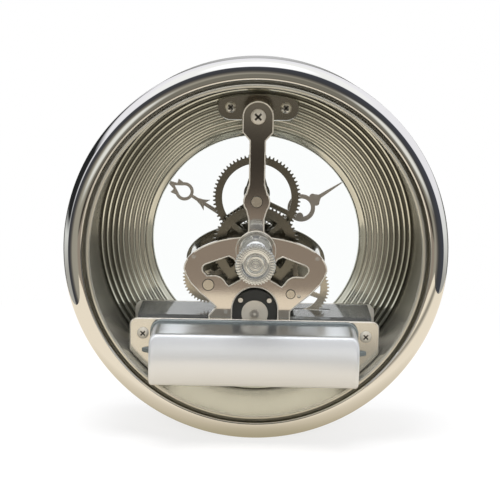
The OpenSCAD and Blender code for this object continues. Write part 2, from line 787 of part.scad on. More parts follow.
module minute_wheel() {
    color("goldenrod") difference() {
        translate([stud_axis[0], 0, stud_axis[1]]) {
            along_y(cannon_y, cannon_y + motion_t)
                polygon(teeth_outline(minute_teeth, cannon_module, minute_phase, wheel_land));
            along_y(hour_y, cannon_y)
                polygon(teeth_outline(minute_leaves, hour_module, leaf_phase, leaf_land));
        }
        rod(stud_axis, hour_y - over, cannon_y + motion_t + over, stud_r + run_gap);
    }
}

// A spoked wheel on its own arbor
module train_wheel(axis, y, n, m, phase, spokes, spoke_angle) {
    along_y(y, y + wheel_t) at(axis)
        spoked_wheel(n, m, phase, rim_w, spokes, spoke_angle, 2.6, arbor_r);
}

module upper_wheel() {
    color("gray") train_wheel(upper_axis, upper_y, upper_teeth, upper_module, upper_phase, 3, 85);
}

module upper_arbor() {
    color("silver") arbor(upper_axis, arbor_r);
}

module left_wheel() {
    color("gray") train_wheel(left_axis, drive_y, left_teeth, drive_module, left_phase, 3, 30);
}

module left_arbor() {
    color("silver") arbor(left_axis, arbor_r);
}

module right_wheel() {
    color("gray") train_wheel(right_axis, drive_y, right_teeth, drive_module, right_phase, 3, 80);
}

module right_arbor() {
    color("silver") arbor(right_axis, arbor_r);
}

module motor_pinion() {
    color("silver") {
        along_y(drive_y, drive_y + wheel_t) at(motor_axis)
            polygon(teeth_outline(motor_teeth, drive_module, motor_phase, wheel_land));
        rod(motor_axis, front_plate_back + run_gap, can_y - run_gap, arbor_r);
        rod(motor_axis, front_plate_y, can_y + motor_len / 3, pivot_r);
    }
}

// What rounds the upper corners of such a rectangle
module top_corners(half, top, r) {
    for (s = [-1, 1]) translate([s * (half - r), -top - r]) difference() {
        translate([s > 0 ? 0 : -r - over, 0]) square([r + over, r + over]);
        circle(r, $fn = 48);
    }
}

// A rectangle below the axis that is trimmed to stay inside the round case
module bay_outline(half, top, bottom, reach) {
    intersection() {
        translate([-half, -bottom]) square([2 * half, bottom - top]);
        circle(reach);
    }
}

module battery_box() {
    wheel_slot = mesh_distance(drive_module, right_teeth, 2) + pass_gap;
    notch_floor = -box_top - box_wall - over;
    color("slategray", 0.6) difference() {
        union() {
            along_y(bracket_back, box_back) bay_outline(box_half, box_top, box_bottom, inside_r);
            for (s = [-1, 1]) rod([s * box_screw_half, -box_screw_drop], box_back, box_plate_y, screw_head_r);
        }
        along_y(bracket_back - over, box_back - box_wall)
            bay_outline(box_half - box_wall, box_top + box_wall, box_bottom - box_wall, inside_r - box_wall);
        translate([-notch_half, bracket_back - over, notch_floor])
            cube([2 * notch_half, box_back - bracket_back + 2 * over, box_wall + 2 * over]);
        rod(motor_axis, box_back - box_wall - over, box_back + over, notch_half);
        translate([right_axis[0] - wheel_slot, drive_y - pass_gap, notch_floor])
            cube([2 * wheel_slot, wheel_t + 2 * pass_gap, box_wall + 2 * over]);
        for (s = [-1, 1])
            rod([s * box_screw_half, -box_screw_drop], box_back - box_wall - over, box_plate_y + over, screw_r + set_gap);
    }
}

// Screws that hold the box's front flange to the ribbed ring
mount_screw = [box_half - box_wall - screw_head_r * 0.8 - pass_gap, -34];

module box_front_flange() {
    color("slategray") along_y(seat_y, bracket_back - set_gap) difference() {
        bay_outline(flange_half, box_top, box_bottom + 1, inside_r);
        top_corners(flange_half, box_top, flange_corner);
        for (s = [-1, 1]) at([s * mount_screw[0], mount_screw[1]]) circle(screw_r + set_gap);
    }
}

module box_mount_screws() {
    color("silver") for (s = [-1, 1])
        screw([s * mount_screw[0], mount_screw[1]], bracket_back - set_gap, screw_head_r * 0.8, screw_head_h, screw_r,
            bracket_t - set_gap);
}

module box_rear_plate() {
    color("antiquewhite") along_y(box_plate_y, box_plate_back) difference() {
        bay_outline(flange_half, box_top + plate_drop, cover_top + cover_h + tray_margin, liner_in - pass_gap);
        top_corners(flange_half, box_top + plate_drop, flange_corner);
        for (s = [-1, 1]) at([s * box_screw_half, -box_screw_drop]) circle(screw_r + set_gap);
    }
}

module box_screws() {
    color("silver") for (s = [-1, 1])
        screw([s * box_screw_half, -box_screw_drop], box_plate_back, screw_head_r, screw_head_h, screw_r,
            box_plate_back - box_back + box_wall);
}

// Collar round the cover, with a small rib at each side and a wall at each end of the battery
module battery_tray() {
    inner = cover_wall + pass_gap;
    wall_h = cover_h - 2 * inner;
    rib_reach = 3.2;
    color("slategray") {
        along_y(box_plate_back, tray_back) difference() {
            bay_outline(cover_half + tray_margin, cover_top - tray_margin, cover_top + cover_h + tray_margin,
                liner_in - pass_gap);
            top_corners(cover_half + tray_margin, cover_top - tray_margin, cover_corner + tray_margin);
        }
        for (s = [-1, 1]) translate([s * (cover_half + tray_margin), 0, cover_mid - cover_h / 8]) linear_extrude(tray_t)
            polygon([[0, box_plate_back], [s * rib_reach, box_plate_back], [0, tray_back]]);
        for (s = [-1, 1]) translate([s > 0 ? bay_x : -bay_x - end_wall, tray_back, cover_mid - wall_h / 2])
            cube([end_wall, battery_r * 1.6, wall_h]);
    }
}

module battery() {
    nub_len = 1;
    nub_r = battery_r * 0.37;
    color("darkgreen") translate([0, battery_y, cover_mid]) rotate([0, 90, 0]) {
        translate([0, 0, -battery_len / 2]) cylinder(h = battery_len - nub_len, r = battery_r);
        translate([0, 0, battery_len / 2 - nub_len]) cylinder(h = nub_len, r = nub_r);
    }
}

// A contact strip on an end wall of the tray, with a dimple that meets the battery
module contact(side, dimple_r) {
    strip = battery_r * 1.2;
    reach = wall_gap - contact_t;
    color("gold") translate([side * (bay_x - contact_t / 2), battery_y, cover_mid]) {
        cube([contact_t, strip, strip], center = true);
        rotate([0, -side * 90, 0]) cylinder(h = reach + contact_t / 2, r = dimple_r);
    }
}

module contact_positive() {
    contact(1, battery_r * 0.3);
}

module contact_negative() {
    contact(-1, battery_r * 0.5);
}

// Section of the cover as [y, z], drawn in from the outside by an inset
function cover_section(inset) = let (
    top = -cover_top - inset,
    bottom = -cover_top - cover_h + inset,
    edge = cover_edge - inset,
    curve = cover_curve - inset,
    curve_y = cover_back - cover_curve,
    spread = asin(((top - bottom) / 2 - edge) / (curve - edge)),
    edge_y = curve_y + (curve - edge) * cos(spread)
) concat(
    [[cover_y, bottom]],
    arc([edge_y, bottom + edge], edge, -90, -spread, 8),
    arc([curve_y, cover_mid], curve, -spread, spread, 24),
    arc([edge_y, top - edge], edge, spread, 90, 8),
    [[cover_y, top]]
);

module battery_cover() {
    color("lightsteelblue") difference() {
        along_x(-cover_half, cover_half) polygon(cover_section(0));
        along_y(cover_y - over, cover_back + over) top_corners(cover_half, cover_top, cover_corner);
        difference() {
            along_x(-cover_half + cover_wall, cover_half - cover_wall)
                translate([-over / 100, 0]) polygon(cover_section(cover_wall));
            along_y(cover_y - over, cover_back + over)
                top_corners(cover_half - cover_wall, cover_top + cover_wall, cover_corner - cover_wall);
        }
    }
}

module quartz_module() {
    top = motor_axis[1] - root_radius(motor_teeth, drive_module) - 2 * drive_module - pass_gap;
    floor_z = -box_bottom + box_wall;
    half = box_half * 0.65;
    tower = box_half * 0.27;
    tower_back = box_back - box_wall - set_gap;
    color("darkslategray") {
        translate([-half, bracket_back + plate_t, floor_z])
            cube([2 * half, can_y + motor_len - clamp_len - 2 * plate_t - bracket_back, top - floor_z]);
        for (x = [-half, half - tower])
            translate([x, can_y, floor_z]) cube([tower, tower_back - can_y, -box_top - box_wall - set_gap - floor_z]);
    }
}

module motor_can() {
    color("silver") difference() {
        union() {
            rod(motor_axis, can_y, can_y + motor_len, motor_r);
            rod(motor_axis, can_y, can_y + motor_len + pivot_r * 1.5, motor_r * 0.37);
        }
        rod(motor_axis, can_y - over, can_y + motor_len / 2, pivot_r + run_gap);
    }
}

module motor_clamp() {
    color("darkslategray") difference() {
        rod(motor_axis, clamp_y, clamp_y + clamp_len, clamp_r);
        rod(motor_axis, clamp_y - over, clamp_y + clamp_len + over, motor_r);
        for (s = [-1, 1]) rod(clamp_rivet(s), clamp_y - over, clamp_y + clamp_len + over, clamp_rivet_r * 0.6);
    }
}

// Rivets of the clamp, at its upper left and right
clamp_rivet_r = 0.85;
function clamp_rivet(side) = motor_axis + (motor_r + clamp_wall * 0.6) * [side * sin(47), cos(47)];

module clamp_rivets() {
    color("white") for (s = [-1, 1]) {
        rod(clamp_rivet(s), clamp_y, clamp_y + clamp_len, clamp_rivet_r * 0.6);
        rod(clamp_rivet(s), clamp_y + clamp_len, clamp_y + clamp_len + bush_rise, clamp_rivet_r);
    }
}

case_shell();
inner_liner();
front_bezel();
glass_lens();
ribbed_ring();
dial_ring();
spacer_ring();
top_bracket();
bracket_screws();
top_post();
top_post_screw();
rear_plate();
front_plate();
plate_pillars();
rear_bushing();
pivot_bushings();
plate_rivet();
minute_stud();
centre_arbor();
centre_wheel();
drive_wheel();
cannon_pinion();
minute_hand();
hand_nut();
set_knob();
hour_wheel();
hour_hand();
minute_wheel();
upper_wheel();
upper_arbor();
left_wheel();
left_arbor();
right_wheel();
right_arbor();
motor_pinion();
battery_box();
box_front_flange();
box_mount_screws();
box_rear_plate();
box_screws();
battery_tray();
battery();
contact_positive();
contact_negative();
battery_cover();
quartz_module();
motor_can();
motor_clamp();
clamp_rivets();
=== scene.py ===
"""Looks of a skeleton clock that drops into a stand, seen from its open back.

The solids come packed as a frame. The round and swollen pieces are replaced by finer surfaces
that are worked out on grids, the flat stamped pieces keep their solids and get softened edges,
and every piece gets a finish. Sizes of pieces are in millimetres and the stage is in metres, both
in the frame of the solids: the case axis is Y, the open back faces +Y and twelve o'clock is at +Z.
"""

import logging
import math
from dataclasses import dataclass
from enum import Enum
from typing import Any, Optional, Sequence, Union

import bmesh
import bpy
import numpy as np
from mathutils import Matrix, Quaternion, Vector

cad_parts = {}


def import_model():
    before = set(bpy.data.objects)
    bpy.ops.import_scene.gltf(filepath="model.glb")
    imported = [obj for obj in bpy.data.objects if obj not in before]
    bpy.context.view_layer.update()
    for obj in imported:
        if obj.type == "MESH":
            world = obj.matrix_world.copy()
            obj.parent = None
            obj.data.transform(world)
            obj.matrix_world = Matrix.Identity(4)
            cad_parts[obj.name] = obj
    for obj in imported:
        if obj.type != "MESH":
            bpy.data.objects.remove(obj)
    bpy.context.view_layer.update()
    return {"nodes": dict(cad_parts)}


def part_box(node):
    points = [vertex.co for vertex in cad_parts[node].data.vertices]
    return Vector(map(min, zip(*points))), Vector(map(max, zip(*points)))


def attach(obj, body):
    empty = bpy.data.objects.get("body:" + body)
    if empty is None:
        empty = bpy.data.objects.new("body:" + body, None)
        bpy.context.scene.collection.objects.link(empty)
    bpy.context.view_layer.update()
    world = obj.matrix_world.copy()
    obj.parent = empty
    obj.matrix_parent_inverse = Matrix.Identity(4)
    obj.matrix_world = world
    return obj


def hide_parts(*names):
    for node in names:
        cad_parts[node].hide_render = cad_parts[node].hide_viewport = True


LOG = logging.getLogger("clock")
MM = 0.001

Colour = tuple[float, float, float]
Material = bpy.types.Material
Stops = Sequence[tuple[float, Colour]]
Surface = tuple[np.ndarray, np.ndarray]
Term = Union["Sock", int, float]


class Body(Enum):
    """Rigid bodies of the clock that pieces ride on."""

    FRAME = "frame"
    MINUTE = "minute_arbor"
    COVER = "battery_cover"


class Slot(Enum):
    """Material slots of the record, which new pieces are given but don't use."""

    CHROME = "polished_chrome"
    RIBS = "ribbed_chrome"
    GLASS = "clear_glass"
    DIAL = "dial_silver"
    STEEL = "bright_steel"
    HANDS = "hand_metal"
    KNOB = "knob_aluminium"
    COVER = "cover_silver"
    JACKET = "battery_jacket"


# Shader maths


class Sock:
    """An output socket on which arithmetic adds Math nodes."""

    def __init__(self, graph: "Graph", socket: bpy.types.NodeSocket) -> None:
        """Keeps the socket and the graph that it belongs to."""
        self.graph = graph
        self.socket = socket

    def math(self, operation: str, *others: Term, first: bool = True) -> "Sock":
        """Adds one Math node.

        Args:
            operation: Name of the Math node's operation.
            others: The other operands.
            first: True where this socket is the first operand, False where it is the second.

        Returns:
            The node's result.
        """
        operands = [self, *others] if first else [*others, self]
        node = self.graph.node("ShaderNodeMath", {"operation": operation}, dict(enumerate(operands)))
        return Sock(self.graph, node.outputs[0])

    def __add__(self, other: Term) -> "Sock":
        """Sum."""
        return self.math("ADD", other)

    def __sub__(self, other: Term) -> "Sock":
        """Difference."""
        return self.math("SUBTRACT", other)

    def __rsub__(self, other: float) -> "Sock":
        """Difference from a number."""
        return self.math("SUBTRACT", other, first=False)

    def __mul__(self, other: Term) -> "Sock":
        """Product."""
        return self.math("MULTIPLY", other)

    def __pow__(self, other: float) -> "Sock":
        """Power."""
        return self.math("POWER", other)

    __radd__ = __add__
    __rmul__ = __mul__

    def tinted(self, other: "Sock") -> "Sock":
        """One colour multiplied by another."""
        return self.graph.get(
            self.graph.node("ShaderNodeVectorMath", {"operation": "MULTIPLY"}, {0: self, 1: other}))

    def limit(self) -> "Sock":
        """The value held between 0 and 1."""
        return self.math("MAXIMUM", 0.0).math("MINIMUM", 1.0)

    def rise(self, start: float, slope: float) -> "Sock":
        """A mask that is 0 up to start and then climbs by slope to the unit, up to 1."""
        return ((self - start) * slope).limit()

    def fall(self, end: float, slope: float) -> "Sock":
        """A mask that drops by slope to the unit and is 0 from end onwards."""
        return ((end - self) * slope).limit()

    def hypot(self, other: "Sock") -> "Sock":
        """Root of the sum of two squares."""
        return (self * self + other * other) ** 0.5


class Graph:
    """Node tree of a material or of the world, with short ways to add nodes."""

    def __init__(self, tree: bpy.types.NodeTree) -> None:
        """Clears the tree and keeps it."""
        self.tree = tree
        tree.nodes.clear()

    def node(self, kind: str, settings: Optional[dict[str, Any]] = None,
             sockets: Optional[dict[Union[str, int], Any]] = None) -> bpy.types.Node:
        """Adds a node, sets it and feeds its sockets.

        Args:
            kind: Type of the node.
            settings: Properties that are set first; "stops" fills a ramp with (place, colour) pairs.
            sockets: Input name or number to a value, or to a socket that is linked.

        Returns:
            The new node.
        """
        node = self.tree.nodes.new(kind)
        for key, value in (settings or {}).items():
            if key == "stops":
                self.fill_ramp(node.color_ramp, value)
            else:
                setattr(node, key, value)
        for key, value in (sockets or {}).items():
            if isinstance(value, Sock):
                self.tree.links.new(value.socket, node.inputs[key])
            else:
                node.inputs[key].default_value = value
        return node

    @staticmethod
    def fill_ramp(ramp: bpy.types.ColorRamp, stops: Stops) -> None:
        """Sets a ramp's stops in order from the first to the last.

        Args:
            ramp: The ramp.
            stops: Place and colour of each stop.
        """
        while len(ramp.elements) < len(stops):
            ramp.elements.new(0.5)
        for element, (place, colour) in zip(ramp.elements, stops):
            element.position = place
            element.color = (*colour, 1.0)

    def get(self, node: bpy.types.Node, name: Union[str, int] = 0) -> Sock:
        """One output of a node."""
        return Sock(self, node.outputs[name])

    def place(self) -> Sock:
        """Place of the shaded point in the frame of the solids, in metres."""
        return self.get(self.node("ShaderNodeTexCoord"), "Object")

    def axes(self, vector: Sock) -> tuple[Sock, Sock, Sock]:
        """The X, Y and Z of a vector."""
        split = self.node("ShaderNodeSeparateXYZ", None, {0: vector})
        return self.get(split, 0), self.get(split, 1), self.get(split, 2)

    def noise(self, scale: float, detail: float = 2.0, stretch: Sequence[float] = (1, 1, 1)) -> Sock:
        """Soft noise over the place of the point.

        Args:
            scale: Number of features to the metre.
            detail: Number of finer layers.
            stretch: Factors along X, Y and Z, for brushed or drawn marks.

        Returns:
            A value round 0.5.
        """
        mapped = self.node("ShaderNodeMapping", None, {"Vector": self.place(), "Scale": tuple(stretch)})
        noise = self.node("ShaderNodeTexNoise", None,
                          {"Vector": self.get(mapped), "Scale": scale, "Detail": detail})
        return self.get(noise)

    def ramp(self, value: Sock, stops: Stops) -> Sock:
        """A colour that follows a value through the given stops."""
        return self.get(self.node("ShaderNodeValToRGB", {"stops": stops}, {0: value}))

    def blend(self, factor: Sock, a: Union[Sock, Colour], b: Union[Sock, Colour]) -> Sock:
        """Mixes two colours by a factor."""
        a, b = (c if isinstance(c, Sock) else (*c, 1.0) for c in (a, b))
        return self.get(self.node("ShaderNodeMix", {"data_type": "RGBA"}, {0: factor, 6: a, 7: b}), 2)

    def bump(self, height: Sock, depth: float) -> Sock:
        """A normal that is tilted by a height, where depth is its full rise in millimetres."""
        return self.get(self.node("ShaderNodeBump", None,
                                  {"Strength": 1.0, "Distance": depth * MM, "Height": height}))

    def even(self, kind: str, colour: Union[Sock, tuple[float, ...]]) -> Sock:
        """A shader that has a colour of its own and no more: diffuse, emission or background."""
        return self.get(self.node(kind, None, {"Color": colour}))

    def mixed(self, share: Sock, a: Sock, b: Sock) -> Sock:
        """Two shaders mixed by the share of the second."""
        return self.get(self.node("ShaderNodeMixShader", None, {0: share, 1: a, 2: b}))

    def end(self, shader: Sock, kind: str = "ShaderNodeOutputMaterial") -> None:
        """Ends the tree in a shader."""
        self.node(kind, None, {"Surface": shader})

    def principled(self, fixed: dict[str, Any], varied: dict[str, Sock]) -> None:
        """Ends the material in one Principled shader.

        Args:
            fixed: Input name to a value that is the same all over.
            varied: Input name to a socket that changes over the surface.
        """
        self.end(self.get(self.node("ShaderNodeBsdfPrincipled", None, {**fixed, **varied})))


def new_graph(name: str) -> tuple[Material, Graph]:
    """An empty material and its node tree.

    Args:
        name: Name of the material.

    Returns:
        The material and its tree.
    """
    material = bpy.data.materials.new(name)
    material.use_nodes = True
    return material, Graph(material.node_tree)


# Finishes


@dataclass(frozen=True)
class Finish:
    """A material with a name and a main colour, to which each kind of finish adds its nodes."""

    name: str
    colour: Colour

    def make(self) -> Material:
        """Makes the material.

        Returns:
            The new material.
        """
        material, graph = new_graph(self.name)
        self.wire(graph)
        return material

    def wire(self, g: Graph) -> None:
        """Adds the nodes of the finish to an empty tree."""
        raise NotImplementedError

    def mottled(self, g: Graph, mask: Sock, dark: float, light: float) -> Sock:
        """The main colour, varied by a mask between two factors of its brightness."""
        return g.blend(mask, *(tuple(min(1.0, c * factor) for c in self.colour) for factor in (dark, light)))


@dataclass(frozen=True)
class PlatedMetal(Finish):
    """Polished or satin plated metal with faint clouding, wipe marks and fine grain."""

    roughness: float
    clouding: float
    grain: tuple[float, float, float] = (1, 1, 1)
    grain_depth: float = 0.0
    grain_scale: float = 2500.0
    metallic: float = 1.0
    cloud_scale: float = 90.0
    cloud_gloss: float = 0.5
    wipe_gloss: float = 0.4

    def wire(self, g: Graph) -> None:
        """Clouds change the colour and the gloss, wipe marks change the gloss and grain tilts the normal.

        Args:
            g: Empty node tree of the material.
        """
        clouds = g.noise(self.cloud_scale, 3.0)
        wipes = g.noise(self.grain_scale, stretch=self.grain)
        gloss = ((clouds - 0.5) * (self.roughness * self.cloud_gloss)
                 + (wipes - 0.5) * (self.roughness * self.wipe_gloss) + self.roughness)
        tint = self.mottled(g, clouds, 1 - self.clouding, 1 + self.clouding)
        varied = {"Base Color": tint, "Roughness": gloss}
        if self.grain_depth:
            varied["Normal"] = g.bump(wipes, self.grain_depth)
        g.principled({"Metallic": self.metallic}, varied)


@dataclass(frozen=True)
class TurnedMetal(Finish):
    """Bright metal with the rings that a lathe leaves round the case axis."""

    roughness: float
    metallic: float
    ring_pitch: float = 0.55
    ring_depth: float = 0.02
    cloud_scale: float = 400.0
    fine_scale: float = 1800.0
    gloss_spread: float = 0.12
    tints: tuple[float, float] = (0.92, 1.06)

    def wire(self, g: Graph) -> None:
        """Rings are a sine of the distance from the axis and tilt the normal; noise changes the gloss.

        Args:
            g: Empty node tree of the material.
        """
        x, _, z = g.axes(g.place())
        rings = (x.hypot(z) * (2 * math.pi / (self.ring_pitch * MM))).math("SINE") * 0.5 + 0.5
        mask = rings * 0.5 + g.noise(self.cloud_scale, 3.0) * 0.5
        gloss = g.noise(self.fine_scale) * self.gloss_spread + (self.roughness - self.gloss_spread / 2)
        g.principled({"Metallic": self.metallic},
                     {"Base Color": self.mottled(g, mask, *self.tints), "Roughness": gloss,
                      "Normal": g.bump(rings, self.ring_depth)})


@dataclass(frozen=True)
class GroovedMetal(Finish):
    """Bright plating on ribs with painted shade in the grooves, which thins out towards the middle."""

    painted_groove_shade: Colour
    crest_y: float = -24.95
    depth: float = 0.3
    radii: tuple[float, float] = (43.0, 51.0)
    inner_painted_shade: float = 0.25
    metallic: float = 0.88
    least_roughness: float = 0.05
    gloss_spread: float = 0.05
    cloud_scale: float = 70.0

    def wire(self, g: Graph) -> None:
        """The painted shade follows the depth below the crest and the distance from the axis.

        Args:
            g: Empty node tree of the material.
        """
        x, y, z = g.axes(g.place())
        inner, outer = self.radii
        far = x.hypot(z).rise(inner * MM, 1 / ((outer - inner) * MM))
        low = y.fall(self.crest_y * MM, 1 / (self.depth * MM))
        tint = g.blend(low * (far * (1 - self.inner_painted_shade) + self.inner_painted_shade), self.colour, self.painted_groove_shade)
        gloss = g.noise(self.cloud_scale) * self.gloss_spread + self.least_roughness
        g.principled({"Metallic": self.metallic}, {"Base Color": tint, "Roughness": gloss})


@dataclass(frozen=True)
class SatinPaint(Finish):
    """Silver lacquer with fine flakes and a soft sheen, and above a height where one is set a higher
    metallic share that darkens the top as painted shade.
    """

    roughness: float
    metallic: float
    shaded_top_from: Optional[float] = None
    shaded_top_metallic: float = 0.97
    shaded_top_slope: float = 3.0
    flake_scale: float = 5200.0
    flake_depth: float = 0.0002
    cloud_scale: float = 60.0
    gloss_spread: float = 0.03
    tints: tuple[float, float] = (0.95, 1.05)

    def wire(self, g: Graph) -> None:
        """Flakes sparkle in the colour and tilt the normal, slow clouds change colour and gloss.

        Args:
            g: Empty node tree of the material.
        """
        flakes = g.noise(self.flake_scale, 1.0)
        clouds = g.noise(self.cloud_scale)
        fixed = {"Coat Weight": 0.15, "Coat Roughness": 0.12, "Metallic": self.metallic}
        varied = {"Base Color": self.mottled(g, flakes * 0.5 + clouds * 0.5, *self.tints),
                  "Roughness": (clouds - 0.5) * self.gloss_spread + self.roughness,
                  "Normal": g.bump(flakes, self.flake_depth)}
        # Above the set height the metallic share climbs, which darkens the top face as painted shade.
        if self.shaded_top_from is not None:
            _, _, z = g.axes(g.place())
            top_shade = z.rise(self.shaded_top_from * MM, self.shaded_top_slope / MM)
            varied["Metallic"] = top_shade * (self.shaded_top_metallic - self.metallic) + self.metallic
        g.principled(fixed, varied)


@dataclass(frozen=True)
class Plastic(Finish):
    """Moulded plastic, see-through or not, with a faint orange-peel surface."""

    roughness: float
    clear: float = 0.0
    peel_depth: float = 0.01
    peel_scale: float = 700.0
    peel_gloss: float = 0.1
    flow_scale: float = 55.0
    tints: tuple[float, float] = (0.88, 1.1)

    def wire(self, g: Graph) -> None:
        """Slow flow marks tint the plastic and fine peel breaks its reflections.

        Args:
            g: Empty node tree of the material.
        """
        flow = g.noise(self.flow_scale, stretch=(1, 1, 3))
        peel = g.noise(self.peel_scale)
        g.principled({"Transmission Weight": self.clear, "IOR": 1.49},
                     {"Base Color": self.mottled(g, flow, *self.tints),
                      "Roughness": (peel - 0.5) * self.peel_gloss + self.roughness,
                      "Normal": g.bump(peel, self.peel_depth)})


@dataclass(frozen=True)
class ClearGlass(Finish):
    """Thin flat glass with a trace of haze."""

    haze: float = 0.02
    haze_scale: float = 40.0

    def wire(self, g: Graph) -> None:
        """Full transmission, with haze only in the gloss."""
        g.principled({"Base Color": (*self.colour, 1.0), "Transmission Weight": 1.0, "IOR": 1.02},
                     {"Roughness": g.noise(self.haze_scale, 3.0) * self.haze})


@dataclass(frozen=True)
class CellJacket(Finish):
    """Printed jacket of a plain battery in two colours."""

    cap_colour: Colour
    cap_from: float = 13.0
    least_roughness: float = 0.22
    scuffs: float = 0.15
    scuff_scale: float = 900.0

    def wire(self, g: Graph) -> None:
        """The colour changes along X past cap_from, in millimetres, and scuffs change the gloss.

        Args:
            g: Empty node tree of the material.
        """
        x, _, _ = g.axes(g.place())
        tint = g.blend(x.math("GREATER_THAN", self.cap_from * MM), self.colour, self.cap_colour)
        gloss = g.noise(self.scuff_scale, 3.0) * self.scuffs + self.least_roughness
        g.principled({"Metallic": 0.35, "Coat Weight": 0.4}, {"Base Color": tint, "Roughness": gloss})


class Look(Enum):
    """The finishes of the clock."""

    CHROME = PlatedMetal("chrome", (0.86, 0.86, 0.84), 0.035, 0.02)
    LINER = PlatedMetal("liner_plating", (0.70, 0.68, 0.60), 0.2, 0.05, metallic=0.7)
    # The ribs' second colour is painted shade in the grooves.
    RIBBED = GroovedMetal("ribbed_plating", (0.87, 0.88, 0.80), (0.11, 0.11, 0.088))
    NICKEL = PlatedMetal("nickel_plate", (0.78, 0.74, 0.69), 0.07, 0.04, (1, 1, 6), 0.0008, 900.0)
    BRACKET = PlatedMetal("bracket_plating", (0.62, 0.59, 0.53), 0.12, 0.05)
    DARK_NICKEL = PlatedMetal("dark_nickel", (0.34, 0.34, 0.30), 0.24, 0.08, (1, 1, 6), 0.003, 900.0)
    WHEEL = PlatedMetal("wheel_plating", (0.34, 0.33, 0.28), 0.24, 0.12)
    PALE_WHEEL = PlatedMetal("pale_wheel_plating", (0.80, 0.74, 0.62), 0.22, 0.08, metallic=0.8)
    STEEL = PlatedMetal("steel", (0.80, 0.80, 0.77), 0.16, 0.05, metallic=0.85)
    HAND = PlatedMetal("hand_plating", (0.46, 0.43, 0.39), 0.34, 0.08, metallic=0.6)
    BOX_PLATE = PlatedMetal("box_plating", (0.80, 0.78, 0.72), 0.14, 0.04, metallic=0.85)
    CONTACT = PlatedMetal("contact_plating", (0.78, 0.70, 0.45), 0.25, 0.08)
    CAN = PlatedMetal("can_plating", (0.90, 0.86, 0.77), 0.25, 0.04, metallic=0.4)
    # Pale metal: the colour of some screw heads, and a painted highlight on edge bands and chamfers.
    PALE_AND_HIGHLIGHT = PlatedMetal("pale_metal_and_edge_highlight", (0.78, 0.74, 0.66), 0.3, 0.05, metallic=0.25)
    ALUMINIUM = TurnedMetal("turned_aluminium", (0.84, 0.86, 0.85), 0.2, 0.85)
    POLISHED = PlatedMetal("polished_foot", (0.86, 0.88, 0.88), 0.12, 0.03, metallic=0.8)
    # The last number is the height above which the cover's top is darkened as painted shade.
    LACQUER = SatinPaint("silver_lacquer", (0.84, 0.865, 0.90), 0.33, 0.48, -25.6)
    DIAL = SatinPaint("dial_silver", (0.82, 0.82, 0.80), 0.4, 0.5)
    SMOKE = Plastic("smoky_plastic", (0.46, 0.475, 0.48), 0.1, 0.75)
    # Pale cream plastic: partly the flange's own colour and partly painted light shining through it.
    FLANGE = Plastic("flange_plastic", (0.80, 0.77, 0.69), 0.2)
    COLLAR = Plastic("collar_plastic", (0.27, 0.31, 0.32), 0.12, 0.15)
    # Near-black plastic that stands for shade: slot floors and the chamfers round the pivot bushings and the
    # rivet.
    PAINTED_SHADE = Plastic("painted_black_shade", (0.06, 0.055, 0.045), 0.5)
    BLACK = Plastic("black_plastic", (0.05, 0.052, 0.05), 0.4)
    INK = Plastic("dial_ink", (0.015, 0.015, 0.017), 0.45)
    GLASS = ClearGlass("glass", (0.97, 0.985, 0.98))
    JACKET = CellJacket("cell_jacket", (0.03, 0.045, 0.04), (0.62, 0.45, 0.2))


# Surfaces


def round_steps(count: int) -> np.ndarray:
    """Equal steps round a circle as a column of angles."""
    return np.linspace(0.0, 2 * np.pi, count, endpoint=False)[:, None]


def lathe(profile: np.ndarray, segments: int, closed: bool = True,
          dip: Union[float, np.ndarray] = 0.0) -> Surface:
    """A profile carried round the Y axis: (r, y) becomes (r cos a, y, r sin a).

    Args:
        profile: Points as (radius, y) rows, in millimetres.
        segments: Number of steps round the axis.
        closed: True where the last point joins the first.
        dip: What is taken off the radius, at each step and point where it is an array.

    Returns:
        Vertices in metres and quads.
    """
    a = round_steps(segments)
    r = profile[None, :, 0] - dip
    y = np.broadcast_to(profile[None, :, 1], (segments, len(profile)))
    points = np.stack([r * np.cos(a), y, r * np.sin(a)], -1)
    return points.reshape(-1, 3) * MM, grid_quads(segments, len(profile), True, closed)


def grid_quads(rows: int, columns: int, wrap_rows: bool = False, wrap_columns: bool = False) -> np.ndarray:
    """Quads over a grid of points that are numbered row by row.

    Args:
        rows: Number of rows.
        columns: Number of points in a row.
        wrap_rows: True where the last row joins the first.
        wrap_columns: True where the last column joins the first.

    Returns:
        An array of four point numbers to the quad.
    """
    i = np.arange(rows if wrap_rows else rows - 1)[:, None]
    j = np.arange(columns if wrap_columns else columns - 1)[None, :]
    i2, j2 = (i + 1) % rows, (j + 1) % columns
    quads = np.stack([i * columns + j, i * columns + j2, i2 * columns + j2, i2 * columns + j], -1)
    return quads.reshape(-1, 4)


def arc(centre: Sequence[float], radius: float, start: float, end: float, count: int) -> np.ndarray:
    """Points on a circle from one angle to another, in degrees."""
    a = np.radians(np.linspace(start, end, count))
    return np.c_[centre[0] + radius * np.cos(a), centre[1] + radius * np.sin(a)]


def spun(points: np.ndarray, degrees: Union[float, np.ndarray]) -> np.ndarray:
    """Flat points turned clockwise: (x, z) becomes (x cos a + z sin a, z cos a - x sin a).

    Args:
        points: Array of (..., 2) as (x, z).
        degrees: The angle, or angles that broadcast over the points.

    Returns:
        The turned points.
    """
    a = np.radians(degrees)
    x, z = points[..., 0], points[..., 1]
    return np.stack([x * np.cos(a) + z * np.sin(a), z * np.cos(a) - x * np.sin(a)], -1)


def outward(points: np.ndarray, quads: np.ndarray) -> np.ndarray:
    """Turns all quads round where the volume that they enclose comes out negative.

    Args:
        points: The vertices.
        quads: Four point numbers to the quad.

    Returns:
        The quads, facing outwards.
    """
    a, b, c, d = (points[quads[:, k]] for k in range(4))
    volume = np.einsum("ij,ij->", a, np.cross(b, c)) + np.einsum("ij,ij->", a, np.cross(c, d))
    return quads if volume > 0 else quads[:, ::-1]


